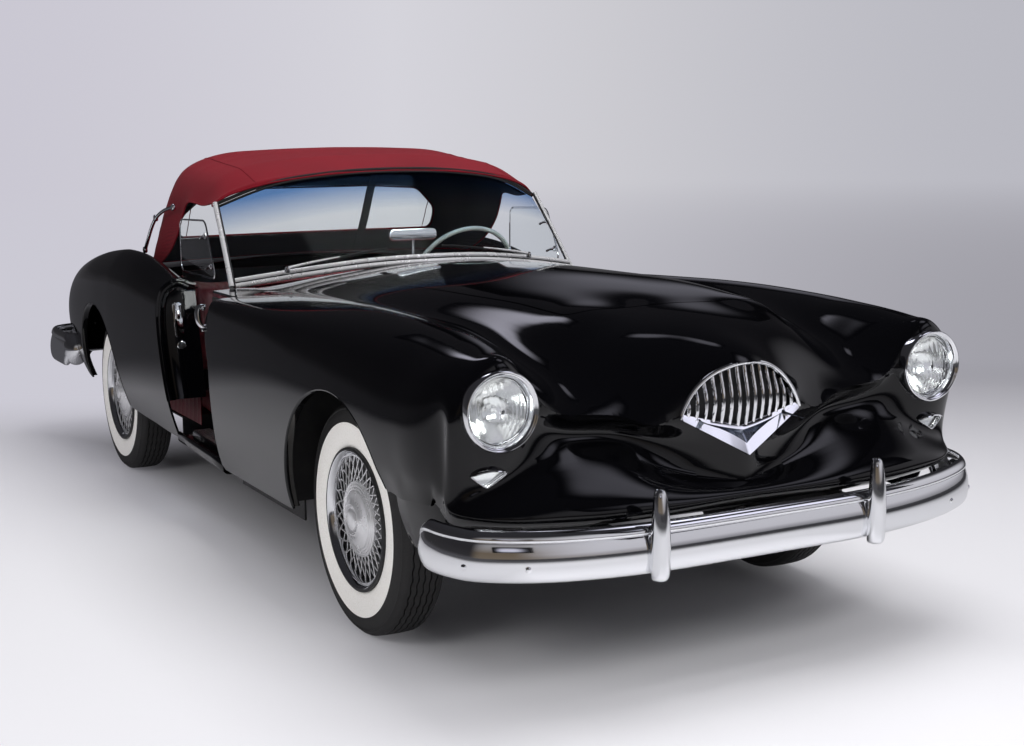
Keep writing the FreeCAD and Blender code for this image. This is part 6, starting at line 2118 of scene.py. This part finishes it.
for label, side in (("left", 1), ("right", -1)):
    middle = side * SEAT_MIDDLE
    cushion = seat_block("cushion_" + label, CUSHION_SHAPE, 0.283, 0.94)
    for vertex in cushion.data.vertices:
        vertex.co.y += middle
    stuffed(cushion, 0.024)
    channelled(cushion, middle, 0.283, 0.072, Vector((0.1, 0, 1)))
    held_in(cushion, (-0.6395, middle - 0.294, 0.3185), (-0.1305, middle + 0.294, 0.4445))
    settle(cushion, "car_body", "leather", oxblood_seat, "seat_cushions", angle=60)
    back = seat_block("backrest_" + label, BACK_SHAPE, 0.283, 0.94)
    for vertex in back.data.vertices:
        vertex.co.y += middle
    stuffed(back, 0.020)
    channelled(back, middle, 0.283, 0.072, Vector((1, 0, 0.25)))
    held_in(back, (-0.7745, middle - 0.294, 0.4405), (-0.6005, middle + 0.294, 0.8495))
    settle(back, "car_body", "leather", oxblood_seat, "seat_backs", angle=60)
    welt = []
    for shape, push in ((CUSHION_SHAPE[1:7], 0.004), (BACK_SHAPE[0:6], 0.002)):
        for y in (-0.286, 0.286):
            welt.append(rod("seat_welt", [(x + push * 0.2, middle + y * 0.965, z + push * 0.3)
                                          for x, z in shape], 0.0038, 3))
    welt = joined("seat_welt_" + label, *welt)
    settle(welt, "car_body", "leather", oxblood_seat, angle=50)


# ---- Cabin ------------------------------------------------------------------------------
# Loop carpet on the floor and tunnel, stitched trim on the side walls, a padded dash with a
# row of round dials, and a thin-rimmed wheel on a plain column.

carpet, tree, shader = finish_called("loop_carpet", Sheen_Weight=0.4, Specular_IOR_Level=0.15,
                                     Roughness=0.95)
overlaid(tree, shader, woven, 0.0015, 0.8, Scale=260.0, Thread=(0.10, 0.007, 0.012, 1),
         Gap=(0.030, 0.002, 0.004, 1))


mats = []
for side in (1, -1):
    low_y, high_y = sorted((side * 0.135, side * 0.655))
    mats.append(slab("floor_mat", (-0.515, low_y, 0.2385), (0.440, high_y, 0.2440), 0.0025, 2))
    foot_low, foot_high = sorted((side * 0.150, side * 0.640))
    for k in range(14):
        mats.append(slab("mat_rib", (0.120 + 0.018 * k, foot_low + 0.03, 0.2438),
                         (0.128 + 0.018 * k, foot_high - 0.03, 0.2462), 0.001, 1))
mats = joined("floor_mats", *mats)
settle(mats, "car_body", "carpet", carpet, angle=40)

trim_parts = []
for side in (1, -1):
    rows = []
    for step in range(97):
        x = -0.762 + 0.508 * step / 96
        row = []
        for k in range(13):
            z = 0.326 + 0.518 * k / 12
            edge = min(1.0, min(step, 96 - step) / 5, min(k, 12 - k) / 1.0 + 0.2)
            ridge = abs(math.sin(math.pi * (x + 0.762) / 0.0508))
            row.append(Vector((x, side * (0.6800 - 0.0075 * edge * (0.55 + 0.45 * ridge ** 0.5)), z)))
        rows.append(row)
    panel = face_away(lofted("cabin_side", rows), Vector((-0.5, side * 0.9, 0.6)))
    thicken(panel, 0.0020)
    trim_parts.append(painted(panel, oxblood_trim))
    bead = rod("cabin_bead", [(x, side * 0.6765, 0.8455) for x in (-0.762, -0.600, -0.400, -0.256)],
               0.0038, 3)
    trim_parts.append(painted(bead, chrome))
sides = joined("cabin_sides", *trim_parts)
settle(sides, "car_body", "trim", None, "cabin_trim", angle=50)

dash_half = smooth_line([Vector((x, y, 0)) for x, y in SCREEN_FOOT], 5)
face_line = smooth_line([Vector((x, y, 0)) for x, y in ((100, 0), (108, 230), (122, 455), (124, 660))], 5)
dash_rows = []
for sign in (-1, 1):
    order = range(len(dash_half) - 1, 0, -1) if sign < 0 else range(len(dash_half))
    for i in order:
        foot, face = dash_half[i], face_line[i]
        y = min(foot.y, 667.0)
        level = 0.934 - 0.056 * (y / 668) ** 2
        f, g = (foot.x - 36) * 0.001, face.x * 0.001
        y *= 0.001 * sign
        dash_rows.append([Vector((f, y, level - 0.006)), Vector((f * 0.5 + g * 0.5, y, level - 0.001)),
                          Vector((g + 0.040, y, level - 0.003)), Vector((g + 0.012, y, level - 0.012)),
                          Vector((g + 0.001, y, level - 0.034)), Vector((g + 0.003, y, level - 0.058)),
                          Vector((g + 0.010, y, level - 0.070)), Vector((g + 0.012, y, level - 0.120)),
                          Vector((g + 0.010, y, 0.760)), Vector((g + 0.016, y, 0.740)),
                          Vector((g + 0.030, y, 0.737))])
dash = face_away(smooth_skin(lofted("dash_panel", dash_rows), 1, rounds=2), Vector((0.35, 0, 0.75)))
thicken(dash, 0.0020)
for face in dash.data.polygons:
    padded_part = face.center.z > 0.934 - 0.056 * (face.center.y / 0.668) ** 2 - 0.064
    face.material_index = 1 if padded_part else 0
dash.data.materials.append(black_lacquer)
dash.data.materials.append(oxblood_trim)


def speckled(name, dark, light, scale, detail):
    """Printed paint: a fine speckle between two close colours."""
    made, tree, shader = finish_called(name, Roughness=0.5)
    where = shader_node(tree, "TexCoord")
    speck = shader_node(tree, "TexNoise", Scale=scale, Detail=detail)
    wire_up(tree, (where, "Object", speck, "Vector"))
    tree.links.new(banded(tree, speck.outputs["Fac"], [(0.0, dark), (1.0, light)]),
                   shader.inputs["Base Color"])
    return made


dial_face = speckled("dial_face", (0.010, 0.010, 0.011), (0.026, 0.026, 0.028), 400.0, 4.0)
pale_mark = speckled("pale_mark", (0.62, 0.60, 0.54), (0.76, 0.74, 0.67), 300.0, 2.0)

dials = []
for y, radius in ((0.330, 0.048), (0.215, 0.036), (0.445, 0.036), (0.120, 0.028), (0.535, 0.028)):
    x = read_off([(0.0, 0.100), (0.230, 0.108), (0.455, 0.122), (0.660, 0.124)], y) + 0.012
    centre = Vector((x, y, 0.815))
    section = [(radius, 0.0), (radius + 0.001, 0.004), (radius - 0.001, 0.009), (radius - 0.004, 0.0100),
               (radius - 0.006, 0.0075), (radius - 0.0065, 0.003)]
    bezel = turned("dial_bezel", section, centre, (-1, 0, 0), 48)
    plate = turned("dial_plate", [(radius - 0.005, 0.0035), (0.0, 0.0035)], centre, (-1, 0, 0), 48)
    dials += [painted(bezel, chrome), painted(plate, dial_face)]
    for k in range(11):
        angle = math.radians(-130 + 26 * k)
        a = Vector((0, math.sin(angle), math.cos(angle)))
        mark = rod("dial_mark",
                   [centre + a * (radius * far) + Vector((-0.0042, 0, 0)) for far in (0.66, 0.72, 0.78)],
                   0.0007, 1)
        dials.append(painted(mark, pale_mark))
    a = Vector((0, math.sin(-1.9), math.cos(-1.9)))
    hand = rod("dial_hand", [centre + a * radius * far + Vector((-0.0055, 0, 0))
                             for far in (0.0, 0.3, 0.62)], 0.0009, 2)
    boss = turned("dial_boss", [(0.003, 0.004), (0.003, 0.007), (0.0, 0.0075)], centre, (-1, 0, 0), 16)
    dials += [painted(hand, pale_mark), painted(boss, chrome)]
KNOB = [(0.0035, 0.0), (0.0035, 0.012), (0.0090, 0.014), (0.0100, 0.018), (0.0090, 0.023), (0.0050, 0.025),
        (0.0, 0.0252)]
for y in (-0.06, -0.12, 0.04):
    centre = Vector((read_off([(0.0, 0.100), (0.230, 0.108)], abs(y)) + 0.012, y, 0.780))
    dials.append(painted(turned("dash_knob", KNOB, centre, (-1, 0, 0), 24), chrome))
glove = slab("glove_door", (0.1195, -0.560, 0.765), (0.1245, -0.260, 0.845), 0.002, 2)
dials.append(painted(glove, black_lacquer))
catch = turned("glove_catch", [(0.010, 0.0), (0.010, 0.003), (0.006, 0.006), (0.0, 0.0065)],
               Vector((0.1195, -0.41, 0.832)), (-1, 0, 0), 24)
dials.append(painted(catch, chrome))
dash = joined("dash_panel", dash, *dials)
settle(dash, "car_body", "trim", None, "dashboard", angle=40)

WHEEL_AT = Vector((-0.062, 0.330, 0.860))
AXIS = Vector((math.cos(math.radians(28)), 0, -math.sin(math.radians(28))))
across_wheel = Vector((0, 1, 0))
up_wheel = AXIS.cross(across_wheel).normalized()
up_wheel = up_wheel if up_wheel.z > 0 else -up_wheel
wheel_grey, tree, shader = finish_called("wheel_grey", Roughness=0.2, Coat_Weight=0.5)
overlaid(tree, shader, rubbed, 0.0001, 0.4, [(0.0, (0.30, 0.34, 0.31)), (1.0, (0.42, 0.46, 0.42))],
         Scale=25.0, Clear=0.14, Hazy=0.30, Ripple_Scale=160.0)
rim_section = []
for step in range(16):
    a = math.radians(24 * step)
    rim_section.append((0.205 + 0.0098 * math.cos(a) * (1 - 0.14 * max(0, -math.cos(a))),
                        0.0098 * math.sin(a)))
rim = turned("steering_rim", rim_section, WHEEL_AT, AXIS, 120)
for vertex in rim.data.vertices:
    local = vertex.co - WHEEL_AT
    angle = math.atan2(local.dot(up_wheel), local.dot(across_wheel))
    depth = local.dot(AXIS)
    if depth > 0.002:
        vertex.co -= AXIS * 0.0016 * (0.5 + 0.5 * math.cos(angle * 60))
wheel_parts = [painted(rim, wheel_grey)]
for angle in (0, 180, 270):
    a = math.radians(angle)
    ray = across_wheel * math.cos(a) + up_wheel * math.sin(a)
    for spread in (-0.016, 0.0, 0.016):
        turned_ray = (ray.cross(AXIS)).normalized()
        p = [WHEEL_AT + ray * 0.030 + turned_ray * spread * 0.7 + AXIS * 0.020,
             WHEEL_AT + ray * 0.090 + turned_ray * spread + AXIS * 0.022,
             WHEEL_AT + ray * 0.160 + turned_ray * spread * 0.9 + AXIS * 0.008,
             WHEEL_AT + ray * 0.201 + turned_ray * spread * 0.5]
        wheel_parts.append(painted(rod("steering_spoke", p, 0.0030, 3), chrome))
hub = turned("steering_hub", [(0.0335, 0.036), (0.0338, 0.012), (0.0320, 0.002), (0.0280, -0.0025),
                              (0.0, -0.0035)],
             WHEEL_AT, AXIS, 48)
horn = turned("horn_ring", [(0.0285, -0.001), (0.0275, -0.0055), (0.0250, -0.0075), (0.0225, -0.0060),
                            (0.0215, -0.002)], WHEEL_AT, AXIS, 48)
wheel_parts += [painted(hub, wheel_grey), painted(horn, chrome)]
steering = joined("steering_rim_and_hub", *wheel_parts)
settle(steering, "steering_wheel", "steering_rim", None, "steering_wheel", angle=45)


# ---- Chassis and unseen metal -----------------------------------------------------------
# The frame, axle, springs, tank, exhaust, engine and inner panels keep their plain shapes and
# get the finish of brushed-on undercoat, cast iron, dusty black paint or heat-stained steel.

metals, into, out = effect("aged_metal", [("Scale", 12.0), ("Clean", (0.02, 0.02, 0.021, 1.0)),
                                          ("Worn", (0.06, 0.055, 0.05, 1.0)), ("Wear", 0.5)],
                           ["Color", "Height", "Roughness"])
where = shader_node(metals, "TexCoord")
blotch = shader_node(metals, "TexNoise", Detail=8.0, Roughness=0.65)
wire_up(metals, (where, "Object", blotch, "Vector"), (into, "Scale", blotch, "Scale"))
pitted = shader_node(metals, "TexNoise", Scale=420.0, Detail=3.0)
wire_up(metals, (where, "Object", pitted, "Vector"))
edge_of = combined(metals, "SUBTRACT", blotch.outputs["Fac"], into.outputs["Wear"])
spread = shader_node(metals, "MapRange", From_Min=-0.06, From_Max=0.16)
wire_up(metals, (edge_of, "Value", spread, "Value"))
coat = shader_node(metals, "Mix")
coat.data_type = "RGBA"
wire_up(metals, (spread, "Result", coat, "Factor"), (into, "Clean", coat, "A"), (into, "Worn", coat, "B"),
                (coat, "Result", out, "Color"), (pitted, "Fac", out, "Height"))
rougher = shader_node(metals, "MapRange", To_Min=0.38, To_Max=0.80)
wire_up(metals, (blotch, "Fac", rougher, "Value"), (rougher, "Result", out, "Roughness"))


def worn_metal(name, clean, worn, wear, scale, relief, metallic=0.0):
    made, tree, shader = finish_called(name, Metallic=metallic)
    overlaid(tree, shader, metals, relief, 0.6, Scale=scale, Clean=(*clean, 1), Worn=(*worn, 1), Wear=wear)
    return made


undercoat = worn_metal("undercoat", (0.010, 0.010, 0.011), (0.024, 0.023, 0.022), 0.50, 9.0, 0.0014)
frame_black = worn_metal("frame_black", (0.014, 0.014, 0.015), (0.050, 0.044, 0.038), 0.58, 7.0, 0.0003)
cast_iron = worn_metal("cast_iron", (0.060, 0.060, 0.064), (0.105, 0.085, 0.070), 0.56, 22.0, 0.0008, 0.6)
engine_paint = worn_metal("engine_paint", (0.055, 0.100, 0.085), (0.040, 0.038, 0.034), 0.60, 16.0, 0.0006)
tank_steel = worn_metal("tank_steel", (0.17, 0.175, 0.18), (0.11, 0.095, 0.080), 0.57, 8.0, 0.0003, 0.8)
pipe_steel = worn_metal("pipe_steel", (0.20, 0.19, 0.18), (0.13, 0.085, 0.055), 0.52, 6.0, 0.0004, 0.9)
bay_paint = worn_metal("bay_paint", (0.010, 0.010, 0.011), (0.018, 0.017, 0.017), 0.52, 5.0, 0.00005)

cabin_floor, tree, shader = finish_called("cabin_floor", Specular_IOR_Level=0.2)
where = shader_node(tree, "TexCoord")
facing = shader_node(tree, "SeparateXYZ")
wire_up(tree, (where, "Normal", facing, "Vector"))
is_up = shader_node(tree, "MapRange", From_Min=0.45, From_Max=0.55)
wire_up(tree, (facing, "Z", is_up, "Value"))
weave = placed(tree, woven, Scale=260.0, Thread=(0.085, 0.006, 0.010, 1), Gap=(0.026, 0.002, 0.004, 1))
aged = placed(tree, metals, Scale=9.0, Clean=(0.010, 0.010, 0.011, 1), Worn=(0.024, 0.023, 0.022, 1),
              Wear=0.5)
for socket, target in (("Color", "Base Color"), ("Roughness", "Roughness")):
    choose = shader_node(tree, "Mix")
    choose.data_type = "RGBA"
    wire_up(tree, (is_up, "Result", choose, "Factor"))
    tree.links.new(aged.outputs[socket], choose.inputs["A"])
    tree.links.new(weave.outputs[socket], choose.inputs["B"])
    tree.links.new(choose.outputs["Result"], shader.inputs[target])
add_relief(tree, shader, weave.outputs["Height"], 0.0012, 0.7)

CARRIED = {
    "floor_pan": cabin_floor, "firewall": bay_paint, "inner_fenders": undercoat,
           "rear_wheel_walls": undercoat,
    "frame_rails": frame_black, "front_suspension": frame_black, "knuckle_left": cast_iron,
           "knuckle_right": cast_iron,
    "rear_axle": frame_black, "engine_block": engine_paint, "fuel_tank": tank_steel,
           "exhaust_pipe": pipe_steel,
    "steering_column": wheel_grey, "plate_bracket": frame_black,
}
for name, finish in CARRIED.items():
    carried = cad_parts[name]
    if not carried.material_slots:
        carried.data.materials.append(finish)
    for carried_slot in carried.material_slots:
        carried_slot.material = finish
